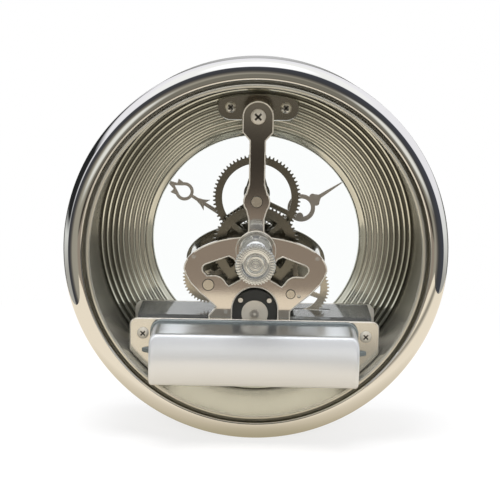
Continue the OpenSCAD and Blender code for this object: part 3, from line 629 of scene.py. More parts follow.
def prisms(strokes: np.ndarray, y0: float, y1: float) -> Surface:
    """Flat four-cornered strokes made solid between two depths.

    Args:
        strokes: Array of (count, 4, 2) corners as (x, z) in millimetres, in the same order round each one.
        y0: Front depth in millimetres.
        y1: Rear depth in millimetres.

    Returns:
        Vertices in metres and quads.
    """
    points = np.concatenate([np.insert(strokes, 1, y, axis=-1) for y in (y0, y1)], 1).reshape(-1, 3)
    block = np.array([[3, 2, 1, 0], [4, 5, 6, 7], [0, 1, 5, 4], [1, 2, 6, 5], [2, 3, 7, 6], [3, 0, 4, 7]])
    quads = (block[None] + 8 * np.arange(len(strokes))[:, None, None]).reshape(-1, 4)
    return points * MM, quads


class Maker:
    """Puts surfaces and finishes into the scene."""

    WELD = 1e-7
    SOLID_WELD = 1e-6
    FLAT_ANGLE = math.radians(0.5)
    EDGE_ANGLE = math.radians(40.0)

    def __init__(self, nodes: dict[str, bpy.types.Object]) -> None:
        """Keeps the loaded solids and makes every finish."""
        self.nodes = nodes
        self.looks = {look: look.value.make() for look in Look}

    def piece(self, name: str, surface: Surface, look: Look, slot: Slot, stands_for: str = "",
              body: Body = Body.FRAME, sharp: float = 35.0, closed: bool = True) -> bpy.types.Object:
        """Makes a piece from a surface, with doubled points merged, which closes poles and seams.

        Args:
            name: Name of the piece.
            surface: Vertices in metres and quads.
            look: Its finish.
            slot: Material slot of the record; not used.
            stands_for: Solid that it replaces.
            body: Body that it rides on.
            sharp: Angle in degrees past which an edge stays sharp.
            closed: True where the surface encloses a volume, so that its faces can be turned outwards.

        Returns:
            The new object.
        """
        points, quads = surface
        mesh = bpy.data.meshes.new(name)
        mesh.from_pydata(points.tolist(), [], (outward(points, quads) if closed else quads).tolist())
        work = bmesh.new()
        work.from_mesh(mesh)
        bmesh.ops.remove_doubles(work, verts=work.verts, dist=self.WELD)
        work.to_mesh(mesh)
        work.free()
        mesh.materials.append(self.looks[look])
        mesh.polygons.foreach_set("use_smooth", np.ones(len(mesh.polygons), bool))
        mesh.set_sharp_from_angle(angle=math.radians(sharp))
        piece = bpy.data.objects.new(name, mesh)
        bpy.context.scene.collection.objects.link(piece)
        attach(piece, body.value)
        if stands_for:
            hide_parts(stands_for)
        LOG.info("made %s with %d faces on %s", name, len(mesh.polygons), body.value)
        return piece

    @staticmethod
    def thicken(piece: bpy.types.Object, wall: float) -> None:
        """Gives an open surface a wall on its inner side, in millimetres.

        Args:
            piece: The open piece.
            wall: Thickness of the wall in millimetres.
        """
        solidify = piece.modifiers.new("wall", "SOLIDIFY")
        solidify.thickness = wall * MM
        solidify.offset = -1.0

    def dress(self, look: Look, *names: str, edge: float = 0.0, segments: int = 1,
              chamfer_look: Optional[Look] = None) -> None:
        """Gives solids a finish and, where edge is set, softened edges.

        Args:
            look: The finish.
            names: Names of the solids.
            edge: Width of the softened edge in millimetres.
            segments: Number of steps across it; one step is a plain chamfer.
            chamfer_look: Finish of a full chamfer on a stamped piece, on some pieces pale as a painted
                highlight or dark as painted shade; without it the chamfer avoids close edges.
        """
        for name in names:
            node = self.nodes[name]
            if not node.material_slots:
                node.data.materials.append(self.looks[look])
            for material_slot in node.material_slots:
                material_slot.material = self.looks[look]
            if edge:
                node.modifiers.new("weld", "WELD").merge_threshold = self.SOLID_WELD
                if chamfer_look:
                    node.data.materials.append(self.looks[chamfer_look])
                    flat = node.modifiers.new("flat", "DECIMATE")
                    flat.decimate_type = "DISSOLVE"
                    flat.angle_limit = self.FLAT_ANGLE
                bevel = node.modifiers.new("edge", "BEVEL")
                bevel.width = edge * MM
                bevel.segments = segments
                bevel.limit_method = "ANGLE"
                bevel.angle_limit = self.EDGE_ANGLE
                bevel.use_clamp_overlap = chamfer_look is None
                bevel.material = len(node.material_slots) - 1 if chamfer_look else -1
            LOG.info("dressed %s", name)


# Sub-assemblies


@dataclass
class Case:
    """The chrome drum with its liner, bezel, glass and the ribbed ring."""

    make: Maker
    rim_r: float = 65.7
    drum_r: float = 65.0
    rim_len: float = 8.6
    roll: float = 6.15
    curl: float = 0.8
    curl_end: float = 1.2
    wall: float = 1.3
    edge: float = 0.2
    clear: float = 0.05
    past_ring: float = 2.5
    liner_in: float = 56.4
    liner_wall: float = 1.0
    bead: float = 0.7
    web_t: float = 1.0
    fillet: float = 0.6
    ring_y: float = -25.4
    ring_t: float = 2.0
    opening_r: float = 36.9
    lip: float = 3.3
    ribs: int = 9
    rib_pitch: float = 1.92
    rib_h: float = 0.62
    last_rib_points: int = 8
    glass_r: float = 60.0
    glass_back: float = -32.4
    glass_t: float = 2.0
    glass_edge: float = 0.25
    view_r: float = 57.8
    past_glass: float = 1.6
    nose_r: float = 4.0
    nose_lip: float = 0.9
    chamfer: float = 0.3
    segments: int = 288
    sharp: float = 30.0

    # Points of a rib as (radius, height) from its crest, and of the step inside the first rib.
    RIB = np.array([[-0.68, -0.42], [-0.46, -0.17], [-0.30, -0.105], [-0.14, -0.045], [0.0, 0.0],
                    [0.07, -0.02], [0.15, -0.14], [0.27, -0.46], [0.58, -0.54], [0.76, -0.49],
                    [0.94, -0.43], [1.08, -0.42]])
    STEP = np.array([[-1.55, 0.2], [-0.95, 0.38], [-0.8, 0.2]])

    @property
    def front(self) -> float:
        """Front end of the shell."""
        return self.ring_y - self.ring_t - self.past_ring

    @property
    def bore(self) -> float:
        """Outer radius of what fits into the shell."""
        return self.drum_r - self.wall - self.clear

    def shell_profile(self) -> np.ndarray:
        """Section of the shell: drum, small step, one smooth roll that ends in a curl, then back inside.

        Returns:
            Points as (radius, y) rows, in millimetres.
        """
        front, inside, edge = self.front, self.drum_r - self.wall, self.edge
        ridge = self.rim_r - self.roll
        roll_c = (ridge, self.rim_len - self.roll)
        curl_y = self.rim_len - self.curl - self.curl_end
        return np.vstack([
            [[self.drum_r - edge, front], [self.drum_r, front + edge], [self.drum_r, 0.0]],
            arc((self.rim_r - edge, edge), edge, -90, 0, 5),
            arc(roll_c, self.roll, 0, 90, 48),
            arc((ridge, self.rim_len - self.curl), self.curl, 90, 180, 14),
            [[ridge - self.curl, curl_y], [ridge, curl_y]],
            arc(roll_c, self.roll - self.wall, 90, 0, 14),
            [[self.rim_r - self.wall, self.wall], [inside, self.wall], [inside, front]],
        ])

    def liner_profile(self) -> np.ndarray:
        """Section of the liner: inner wall, rolled bead, groove wall and the web to the shell.

        Returns:
            Points as (radius, y) rows, in millimetres.
        """
        out = self.liner_in + self.liner_wall
        web_y = self.wall + self.clear
        web_out = self.rim_r - self.wall - self.clear
        web_back = web_y + self.web_t
        mid = self.liner_in + self.liner_wall / 2
        return np.vstack([
            [[self.liner_in, self.ring_y]],
            arc((mid, self.rim_len - self.bead), self.bead, 225, -45, 20),
            [[out, web_back + self.fillet]],
            arc((out + self.fillet, web_back + self.fillet), self.fillet, 180, 270, 6),
            [[web_out, web_back], [web_out, web_y], [out, web_y], [out, self.ring_y]],
        ])

    def ring_profile(self) -> np.ndarray:
        """Section of the ribbed ring: round lip, sloping step, ribs like a coarse thread and a flat front.

        A rib rises steeply, then gently to its crest, and drops into a groove whose floor turns up again.

        Returns:
            Points as (radius, y) rows, in millimetres.
        """
        lip_r = self.ring_t / 2
        first = self.opening_r + self.lip
        ribs = [self.RIB + (first + k * self.rib_pitch, self.ring_y + self.rib_h) for k in range(self.ribs)]
        ribs[-1] = ribs[-1][:self.last_rib_points]
        return np.vstack([
            arc((self.opening_r + lip_r, self.ring_y - lip_r), lip_r, 270, 105, 16),
            self.STEP + (first, self.ring_y),
            *ribs,
            [[self.bore, self.ring_y], [self.bore, self.ring_y - self.ring_t]],
        ])

    def bezel_profile(self) -> np.ndarray:
        """Section of the front bezel: rounded front, lip, glass seat and a skirt inside the shell.

        Returns:
            Points as (radius, y) rows, in millimetres.
        """
        joint = self.front - self.clear
        back = self.glass_back
        nose_y = back - self.glass_t - self.past_glass
        seat, seat_y = self.glass_r + self.clear, back - self.glass_t - self.clear
        skirt_in, skirt_y = self.bore - self.wall, self.ring_y - self.ring_t - self.clear
        return np.vstack([
            [[self.drum_r - self.chamfer, joint], [self.drum_r, joint - self.chamfer]],
            arc((self.drum_r - self.nose_r, nose_y + self.nose_r), self.nose_r, 0, -90, 18),
            arc((self.view_r + self.nose_lip, nose_y + self.nose_lip), self.nose_lip, 270, 180, 8),
            [[self.view_r, seat_y], [seat, seat_y], [seat, back]],
            [[skirt_in, back], [skirt_in, skirt_y], [self.bore, skirt_y], [self.bore, joint]],
        ])

    def glass_profile(self) -> np.ndarray:
        """Section of the glass: a flat disc with ground edges.

        Returns:
            Points as (radius, y) rows, in millimetres.
        """
        r, edge = self.glass_r, self.glass_edge
        y0, y1 = self.glass_back - self.glass_t, self.glass_back
        return np.array([[0, y0], [r / 2, y0], [r - edge, y0], [r, y0 + edge],
                         [r, y1 - edge], [r - edge, y1], [r / 2, y1], [0, y1]])

    def build(self) -> None:
        """Makes the shell, liner, ring, bezel and glass."""
        parts = (
            ("shell_drum", self.shell_profile(), Look.CHROME, Slot.CHROME, "case_shell"),
            ("liner_tube", self.liner_profile(), Look.LINER, Slot.CHROME, "inner_liner"),
            ("rib_ring", self.ring_profile(), Look.RIBBED, Slot.RIBS, "ribbed_ring"),
            ("bezel_front", self.bezel_profile(), Look.CHROME, Slot.CHROME, "front_bezel"),
            ("glass_disc", self.glass_profile(), Look.GLASS, Slot.GLASS, "glass_lens"),
        )
        for name, profile, look, slot, node in parts:
            surface = lathe(profile, self.segments, profile[0, 0] > 0)
            self.make.piece(name, surface, look, slot, node, sharp=self.sharp)


@dataclass
class Dial:
    """The dial ring with plain Roman numerals and a minute track, and the spacer round it."""

    make: Maker
    r_in: float = 37.9
    r_out: float = 57.4
    y_front: float = -28.2
    y_back: float = -27.4
    bevel: float = 0.15
    spacer_gap: float = 0.05
    spacer_t: float = 1.4
    glass_back: float = -32.4
    numeral_r: float = 47.0
    numeral_h: float = 9.6
    serif_half: float = 0.16
    serif_in: float = 0.1
    track_r: float = 54.6
    tick_half: float = 0.9
    tick_widths: tuple[float, float] = (0.42, 0.16)
    line_half: float = 0.12
    line_radii: tuple[float, float, float] = (53.6, 55.6, 39.5)
    print_t: float = 0.06
    print_sunk: float = 0.02
    segments: int = 192

    # Width of each letter and its slanted bars as (top, foot, thickness) from the letter's left side.
    LETTERS = {"I": (1.9, ((0.95, 0.95, 1.25),)),
               "V": (4.4, ((0.7, 2.2, 1.25), (4.0, 2.2, 0.5))),
               "X": (4.2, ((0.7, 3.5, 1.25), (3.7, 0.5, 0.5)))}
    NUMERALS = ("XII", "I", "II", "III", "IIII", "V", "VI", "VII", "VIII", "IX", "X", "XI")

    def ring_profile(self) -> np.ndarray:
        """Section of the dial ring with a small bevel at both edges of its face."""
        r0, r1, y0, y1, e = self.r_in, self.r_out, self.y_front, self.y_back, self.bevel
        return np.array([[r0, y1], [r1, y1], [r1, y0 + e], [r1 - e, y0], [r0 + e, y0], [r0, y0 + e]])

    @staticmethod
    def band(r0: float, r1: float, y0: float, y1: float) -> np.ndarray:
        """Section of a plain ring."""
        return np.array([[r0, y0], [r1, y0], [r1, y1], [r0, y1]])

    def strokes(self, text: str) -> np.ndarray:
        """Strokes of one numeral, standing upright round its own middle.

        I is one bar, V is two that meet at the foot and X is two that cross; a thin serif closes the numeral
        above and below.

        Args:
            text: The numeral in the letters I, V and X.

        Returns:
            Array of (count, 4, 2) corners in millimetres.
        """
        h = self.numeral_h / 2
        pen = left = -sum(self.LETTERS[letter][0] for letter in text) / 2
        found = []
        for letter in text:
            width, bars = self.LETTERS[letter]
            for top, foot, thick in bars:
                half = thick / 2
                found.append([(pen + foot - half, -h), (pen + foot + half, -h),
                              (pen + top + half, h), (pen + top - half, h)])
            pen += width
        end = left + self.serif_in
        for z in (-h, h):
            low, high = z - self.serif_half, z + self.serif_half
            found.append([(end, low), (-end, low), (-end, high), (end, high)])
        return np.array(found)

    def numerals(self) -> np.ndarray:
        """All twelve numerals, each turned so that its foot points to the middle of the dial."""
        return np.concatenate([spun(self.strokes(text) + (0, self.numeral_r), hour * 30)
                               for hour, text in enumerate(self.NUMERALS)])

    def ticks(self) -> np.ndarray:
        """The minute marks: sixty short bars of two half widths, every fifth one broader.

        Returns:
            Array of (60, 4, 2) corners in millimetres.
        """
        minute = np.arange(60)[:, None]
        half = np.where(minute % 5 == 0, *self.tick_widths)
        x = half * (-1, 1, 1, -1)
        z = np.broadcast_to(self.track_r + self.tick_half * np.array([-1, -1, 1, 1]), x.shape)
        return spun(np.stack([x, z], -1), minute * 6)

    def build(self) -> None:
        """Makes the dial, the spacer and the print."""
        front, raised = self.y_front + self.print_sunk, self.y_front - self.print_t
        spacer_r = self.r_out + self.spacer_gap
        spacer = self.band(spacer_r, spacer_r + self.spacer_t, self.y_back, self.glass_back)
        piece = self.make.piece
        piece("dial_plate", lathe(self.ring_profile(), self.segments), Look.DIAL, Slot.DIAL, "dial_ring")
        piece("spacer_band", lathe(spacer, self.segments), Look.DIAL, Slot.DIAL, "spacer_ring")
        piece("dial_numerals", prisms(self.numerals(), raised, front), Look.INK, Slot.HANDS)
        piece("dial_minutes", prisms(self.ticks(), raised, front), Look.INK, Slot.HANDS)
        for k, r in enumerate(self.line_radii):
            line = self.band(r - self.line_half, r + self.line_half, front, raised)
            piece(f"dial_line_{k}", lathe(line, self.segments), Look.INK, Slot.HANDS)


@dataclass
class SettingKnob:
    """The turned setting knob with a knurled head and a stepped face."""

    make: Maker
    y0: float = 0.67
    neck_r: float = 5.9
    dome_h: float = 6.5
    dome_y: float = 0.35
    stem_r: float = 3.4
    stem_flare: tuple[float, float] = (0.5, 0.2)
    neck_len: float = 17.6
    head_r: float = 6.7
    head_len: float = 8.4
    rim_len: float = 2.6
    rim_edge: float = 0.35
    rim_round: float = 0.3
    teeth: int = 40
    steps: int = 8
    depth: float = 0.5
    knurl_in: float = 0.6
    knurl_fade: float = 0.5
    foot_segments: int = 96
    sharp: float = 32.0

    # Points where the rim starts as (radius, depth) from its front edge, then the face as (share of the
    # head's radius, depth below its rear end).
    RIM = np.array([[-1.2, -0.2], [-0.5, 0.0], [-0.1, 0.15], [0.0, 0.4]])
    FACE = np.array([[0.68, 0.0], [0.64, 0.1], [0.57, 0.5], [0.49, 0.5], [0.47, 0.18], [0.44, 0.1],
                     [0.40, 0.1], [0.37, 0.18], [0.34, 0.55], [0.25, 0.55], [0.22, 0.2], [0.16, 0.2],
                     [0.14, 0.45], [0.08, 0.45], [0.06, 0.25], [0.0, 0.2]])

    def foot_profile(self) -> np.ndarray:
        """Section of the polished dome and the stem that carry the head.

        Returns:
            Points as (radius, y) rows, in millimetres.
        """
        head = self.y0 + self.neck_len
        dome = arc((0, 0), 1.0, 0, math.degrees(math.acos(self.stem_r / self.neck_r)), 24)
        return np.vstack([
            [[0, self.y0], [self.neck_r, self.y0]],
            dome * (self.neck_r, self.dome_h) + (0, self.y0 + self.dome_y),
            [[self.stem_r, head], [0, head]],
        ])

    def head_surface(self) -> Surface:
        """The head as a turned profile that tapers to the stem and dips at each groove of the knurl.

        The radius is r - depth * mask * c, where c = (0.5 - 0.5 cos(teeth * a)) squared and the mask is 1
        on the head's rim, fades over the edge of its face and is 0 elsewhere.

        Returns:
            Vertices in metres and quads.
        """
        head = self.y0 + self.neck_len
        back, r = head + self.head_len, self.head_r
        wider, on = self.stem_flare
        profile = np.vstack([
            [[0, head], [self.stem_r, head], [self.stem_r + wider, head + on]],
            self.RIM + (r, back - self.rim_len),
            [[r, back - self.rim_edge]],
            arc((r - self.rim_edge, back - self.rim_round), self.rim_round, 0, 90, 5),
            self.FACE * (r, -1) + (0, back),
        ])
        count = self.teeth * self.steps
        mask = np.clip((profile[None, :, 0] - r + self.knurl_in) / self.knurl_fade, 0, 1)
        groove = (0.5 - 0.5 * np.cos(self.teeth * round_steps(count))) ** 2
        return lathe(profile, count, False, self.depth * mask * groove)

    def build(self) -> None:
        """Makes the knob's head and its foot."""
        self.make.piece("knob_head", self.head_surface(), Look.ALUMINIUM, Slot.KNOB, "set_knob", Body.MINUTE,
                        self.sharp)
        foot = lathe(self.foot_profile(), self.foot_segments, False)
        self.make.piece("knob_foot", foot, Look.POLISHED, Slot.KNOB, "set_knob", Body.MINUTE)


@dataclass
class BatteryCover:
    """The swollen silver cover over the battery, a thin shell that is open to the front."""

    make: Maker
    half: float = 35.2
    top: float = -25.1
    height: float = 18.0
    y0: float = 2.47
    depth: float = 20.1
    curve: float = 14.0
    corner: float = 2.4
    top_r: float = 3.4
    end_r: float = 1.2
    wall: float = 1.0
    runs: int = 5
    corner_steps: int = 8
    back_steps: int = 30
    end_steps: int = 16
    long_steps: int = 24
    sharp: float = 50.0

    def section(self, over: float, under: float) -> np.ndarray:
        """Outline of the cover from its lower front edge round the back to its upper front edge.

        The back is an arc that runs into two round edges without a break.

        Args:
            over: How far the upper edge is drawn in, in millimetres.
            under: How far the lower edge and the back are drawn in.

        Returns:
            Array of (points, 2) as (y, z).
        """
        high, low = self.top - over, self.top - self.height + under
        mid, half = (high + low) / 2, (high - low) / 2
        back = self.y0 + self.depth - under
        reach = self.curve - self.corner
        lean = math.asin((half - self.corner) / reach)
        spread = math.degrees(lean)
        flat = back - self.curve + reach * math.cos(lean)
        side = np.linspace(self.y0, flat, self.runs + 1)[:-1]
        return np.vstack([
            np.c_[side, np.full(self.runs, low)],
            arc((flat, low + self.corner), self.corner, -90, -spread, self.corner_steps),
            arc((back - self.curve, mid), self.curve, -spread, spread, self.back_steps),
            arc((flat, high - self.corner), self.corner, spread, 90, self.corner_steps),
            np.c_[side[::-1], np.full(self.runs, high)],
        ])

    def drawn_in(self, x: np.ndarray, r: float) -> np.ndarray:
        """How far an end that is rounded by a quarter circle of radius r is drawn in at each x."""
        past = np.clip(np.abs(x) - self.half + r, 0, r)
        return r - np.sqrt(r ** 2 - past ** 2)

    def end_wall(self, rim: np.ndarray) -> np.ndarray:
        """A flat wall from the round part of an end's outline straight forwards to the open edge.

        Args:
            rim: Outline of the end as (points, 3).

        Returns:
            Grid of points from the back to the open edge.
        """
        back = rim[self.runs:-self.runs]
        wall = np.repeat(back[None], self.runs + 1, 0)
        wall[..., 1] = self.y0 + (back[:, 1] - self.y0) * np.linspace(1.0, 0.0, self.runs + 1)[:, None]
        return wall

    def surface(self) -> Surface:
        """The outline carried along X, drawn in at the round ends, then closed by flat end walls.

        At the ends the upper edge is drawn in along a quarter circle of radius top_r, the rest along one of
        radius end_r.

        Returns:
            Vertices in metres and quads.
        """
        x_end = self.half - self.top_r * (1 - np.sin(np.linspace(0, np.pi / 2, self.end_steps)))
        x = np.concatenate([-x_end[::-1], np.linspace(-x_end[0], x_end[0], self.long_steps)[1:-1], x_end])
        drawn = zip(self.drawn_in(x, self.top_r), self.drawn_in(x, self.end_r))
        outline = np.array([self.section(over, under) for over, under in drawn])
        body = np.concatenate([np.broadcast_to(x[:, None, None], (*outline.shape[:2], 1)), outline], -1)
        grids = (body, self.end_wall(body[0])[::-1], self.end_wall(body[-1]))
        points = np.concatenate([grid.reshape(-1, 3) for grid in grids])
        starts = np.cumsum([0] + [grid.shape[0] * grid.shape[1] for grid in grids[:-1]])
        quads = np.concatenate([grid_quads(*grid.shape[:2]) + first for grid, first in zip(grids, starts)])
        return points * MM, quads

    def build(self) -> None:
        """Makes the cover and gives it its wall."""
        cover = self.make.piece("cover_shell", self.surface(), Look.LACQUER, Slot.COVER, "battery_cover",
                                Body.COVER, self.sharp)
        self.make.thicken(cover, self.wall)


@dataclass
class Cell:
    """The round battery under the cover."""

    make: Maker
    r: float = 7.25
    length: float = 50.5
    y: float = 9.67
    z: float = -34.1
    dish: float = 0.3
    dish_r: float = 4.6
    base_r: float = 4.9
    base_round: float = 0.6
    nub_h: float = 1.0
    groove_radii: tuple[float, float, float] = (5.4, 5.0, 2.9)
    nub_foot: float = 0.1
    nub_r: float = 2.68
    nub_round: float = 0.3
    shoulder: float = 0.7
    segments: int = 64

    def surface(self) -> Surface:
        """A turned profile along X: rolled jacket edges, a shoulder and a nub at one end.

        Returns:
            Vertices in metres and quads.
        """
        low, high = -self.length / 2, self.length / 2
        end = high - self.nub_h
        groove_out, floor_out, floor_in = self.groove_radii
        profile = np.vstack([
            [[0, low + self.dish], [self.dish_r, low + self.dish], [self.base_r, low]],
            arc((self.r - self.base_round, low + self.base_round), self.base_round, -90, 0, 6),
            arc((self.r - self.shoulder, end - self.shoulder), self.shoulder, 0, 90, 6),
            [[groove_out, end], [floor_out, end - self.dish], [floor_in, end - self.dish]],
            [[self.nub_r, end - self.nub_foot]],
            arc((self.nub_r - self.nub_round, high - self.nub_round), self.nub_round, 0, 90, 4),
            [[0, high]],
        ])
        points, quads = lathe(profile, self.segments, False)
        return points[:, [1, 0, 2]] + np.array([0, self.y, self.z]) * MM, quads

    def build(self) -> None:
        """Makes the battery."""
        self.make.piece("cell_jacket", self.surface(), Look.JACKET, Slot.JACKET, "battery")


@dataclass
class EdgeBand:
    """A pale band along the rear edges of a flat stamped solid, a painted highlight."""

    make: Maker
    width: float = 0.45
    rise: float = 0.05
    lift: float = 0.01
    sheet_t: float = 0.05
    hole_r: float = 2.2
    same_point: float = 0.001
    same_plane: float = 0.01
    rear_lean: float = 0.99
    wall_lean: float = 0.1
    mitre_limit: float = 0.4

    HOLES = np.array([[21.3, -2.6], [-21.3, -2.6], [10.0, -21.8], [-15.2, -15.9]])

    def triangles(self, solid: bpy.types.Object) -> Surface:
        """Points of a solid, merged where they are the same, and its triangles.

        Args:
            solid: The solid.

        Returns:
            Points in metres and three point numbers to the triangle.
        """
        mesh = solid.data
        mesh.calc_loop_triangles()
        raw = np.empty(len(mesh.vertices) * 3)
        mesh.vertices.foreach_get("co", raw)
        turn = np.array(solid.matrix_world)
        raw = raw.reshape(-1, 3) @ turn[:3, :3].T + turn[:3, 3]
        corner = np.empty(len(mesh.loop_triangles) * 3, np.int64)
        mesh.loop_triangles.foreach_get("vertices", corner)
        _, kept, same = np.unique(np.round(raw / (self.same_point * MM)).astype(np.int64), axis=0,
                                  return_index=True, return_inverse=True)
        return raw[kept], same.reshape(-1)[corner].reshape(-1, 3)

    @staticmethod
    def edges(faces: np.ndarray, count: int) -> tuple[np.ndarray, np.ndarray]:
        """Edges of triangles as two ends and the corner across, with a key that both directions share."""
        found = np.concatenate([faces[:, [0, 1, 2]], faces[:, [1, 2, 0]], faces[:, [2, 0, 1]]])
        return found, found[:, :2].min(1) * count + found[:, :2].max(1)

    def rear_edges(self, points: np.ndarray, tri: np.ndarray) -> np.ndarray:
        """Edges that one triangle of the rear face shares with a side wall, without those of small holes.

        Args:
            points: Points in metres.
            tri: Three point numbers to the triangle.

        Returns:
            Two ends and the corner across, as point numbers.
        """
        normal = np.cross(points[tri[:, 1]] - points[tri[:, 0]], points[tri[:, 2]] - points[tri[:, 0]])
        lean = normal[:, 1] / np.maximum(np.linalg.norm(normal, axis=1), 1e-20)
        rearmost = points[tri, 1].min(1) > points[:, 1].max() - self.same_plane * MM
        rim, rim_key = self.edges(tri[(lean > self.rear_lean) & rearmost], len(points))
        _, wall_key = self.edges(tri[np.abs(lean) < self.wall_lean], len(points))
        _, place, times = np.unique(rim_key, return_inverse=True, return_counts=True)
        lone = times[place.reshape(-1)] == 1
        away = np.linalg.norm(points[rim[:, 0], None][..., [0, 2]] - self.HOLES * MM, axis=-1).min(1)
        return rim[lone & np.isin(rim_key, wall_key) & (away > self.hole_r * MM)]

    def surface(self, solid: bpy.types.Object) -> Surface:
        """Strips from each rear edge inwards, mitred where two edges meet.

        A point is carried inwards by the mean of the inward normals of its edges, divided by the square of
        that mean's length.

        Args:
            solid: The stamped solid, whose flat face looks along +Y.

        Returns:
            Vertices in metres and quads.
        """
        points, tri = self.triangles(solid)
        rim = self.rear_edges(points, tri)
        flat = points[:, [0, 2]]
        along = flat[rim[:, 1]] - flat[rim[:, 0]]
        inward = np.c_[-along[:, 1], along[:, 0]] / np.maximum(np.linalg.norm(along, axis=1), 1e-12)[:, None]
        inward *= np.sign((inward * (flat[rim[:, 2]] - flat[rim[:, 0]])).sum(1))[:, None]
        total, count = np.zeros_like(flat), np.zeros(len(flat))
        np.add.at(total, rim[:, :2], inward[:, None, :])
        np.add.at(count, rim[:, :2], 1)
        mean = total / np.maximum(count, 1)[:, None]
        mitre = mean / np.maximum((mean ** 2).sum(1), self.mitre_limit)[:, None]
        inner = points.copy()
        inner[:, [0, 2]] += mitre * self.width * MM
        inner[:, 1] += self.rise * MM
        both = np.concatenate([points + np.array([0, self.lift * MM, 0]), inner])
        quads = np.c_[rim[:, 0], rim[:, 1], rim[:, 1] + len(points), rim[:, 0] + len(points)]
        used, renumbered = np.unique(quads, return_inverse=True)
        both, quads = both[used], renumbered.reshape(-1, 4)
        facing = np.cross(both[quads[:, 1]] - both[quads[:, 0]], both[quads[:, 2]] - both[quads[:, 0]])[:, 1]
        quads[facing < 0] = quads[facing < 0][:, ::-1]
        return both, quads

    def build(self, node: str) -> None:
        """Makes the band of one solid.

        Args:
            node: Name of the solid.
        """
        surface = self.surface(self.make.nodes[node])
        band = self.make.piece(f"{node}_band", surface, Look.PALE_AND_HIGHLIGHT, Slot.STEEL, closed=False)
        self.make.thicken(band, self.sheet_t)


@dataclass
class Movement:
    """Stamped plates, wheels, hands and small parts, which keep their solids."""

    make: Maker
    slot_half: float = 0.56
    slot_half_width: float = 0.14
    slot_t: float = 0.12

    # Name, places as (x, z), radius of the head and depth of the slot's floor.
    SCREWS = (("post", [(0.0, 45.9)], 2.6, -0.165),
              ("box", [(38.6, -29.5), (-38.6, -29.5)], 2.0, 1.12),
              ("bracket", [(9.8, 47.2), (-9.8, 47.2)], 2.0, -22.78))

    def slots(self) -> None:
        """Puts black floors into the cross slots of the screw heads as painted shade, two slanting bars to a
        screw.
        """
        bar = np.array([[-1, -1], [1, -1], [1, 1], [-1, 1]]) * (self.slot_half, self.slot_half_width)
        cross = spun(bar, np.array([[-45.0], [-135.0]]))
        for name, places, head_r, floor in self.SCREWS:
            bars = (cross[None] * head_r + np.array(places)[:, None, None]).reshape(-1, 4, 2)
            self.make.piece(f"{name}_slots", prisms(bars, floor, floor + self.slot_t), Look.PAINTED_SHADE, Slot.STEEL)

    def build(self) -> None:
        """Dresses the plates, posts, wheels, arbors, hands and screws."""
        dress = self.make.dress
        self.slots()
        dress(Look.NICKEL, "rear_plate")
        EdgeBand(self.make).build("rear_plate")
        dress(Look.BRACKET, "top_bracket", edge=0.3, chamfer_look=Look.STEEL)
        dress(Look.BRACKET, "top_post", edge=0.2)
        # The pale chamfer round the rear bushing is a painted highlight.
        dress(Look.NICKEL, "rear_bushing", edge=0.3, chamfer_look=Look.PALE_AND_HIGHLIGHT)
        dress(Look.DARK_NICKEL, "front_plate", edge=0.2, chamfer_look=Look.WHEEL)
        dress(Look.WHEEL, "upper_wheel", "centre_wheel", "drive_wheel", "motor_pinion", "cannon_pinion",
              "hour_wheel", "minute_wheel", edge=0.06)
        dress(Look.PALE_WHEEL, "left_wheel", "right_wheel", edge=0.06)
        dress(Look.STEEL, "centre_arbor", "upper_arbor", "left_arbor", "right_arbor", "minute_stud")
        dress(Look.STEEL, "plate_pillars", "hand_nut", "clamp_rivets", edge=0.12, segments=2)
        # The black chamfers round the pivot bushings and the rivet are painted shade.
        dress(Look.PALE_WHEEL, "pivot_bushings", "plate_rivet", edge=0.25, chamfer_look=Look.PAINTED_SHADE)
        dress(Look.PALE_AND_HIGHLIGHT, "top_post_screw", "box_screws", edge=0.1)
        dress(Look.STEEL, "bracket_screws", "box_mount_screws", edge=0.1)
        dress(Look.HAND, "hour_hand", "minute_hand")


@dataclass
class PowerBox:
    """The battery box, its plates and the motor, which keep their solids."""

    make: Maker
    segments: int = 48

    # Section of the boss as (radius, height) from the rear end of the motor can.
    BOSS = np.array([[0, -0.5], [1.72, -0.5], [1.72, -0.1], [1.5, 0.02], [0.5, 0.02], [0.4, -0.15],
                     [0, -0.15]])

    def boss(self) -> None:
        """Caps the boss at the rear end of the motor can."""
        low, high = (np.array(corner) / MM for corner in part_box("motor_can"))
        points, quads = lathe(self.BOSS + (0, high[1]), self.segments, False)
        middle = (low + high) / 2 * (1, 0, 1)
        self.make.piece("motor_boss", (points + middle * MM, quads), Look.HAND, Slot.STEEL)

    def build(self) -> None:
        """Dresses the box, its flange and plate, the tray, the contacts and the motor."""
        dress = self.make.dress
        dress(Look.SMOKE, "battery_box", edge=0.3, segments=2)
        # The flange's pale cream is partly painted light shining through the plastic.
        dress(Look.FLANGE, "box_front_flange", edge=0.3, segments=2)
        dress(Look.COLLAR, "battery_tray", edge=0.3, chamfer_look=Look.COLLAR)
        # The pale chamfer round the box's rear plate is a painted highlight.
        dress(Look.BOX_PLATE, "box_rear_plate", edge=0.4, chamfer_look=Look.PALE_AND_HIGHLIGHT)
        dress(Look.BLACK, "quartz_module", "motor_clamp", edge=0.3, segments=2)
        dress(Look.CAN, "motor_can", edge=0.5, segments=3)
        self.boss()
        dress(Look.CONTACT, "contact_positive", "contact_negative", edge=0.1, segments=2)


# Stage


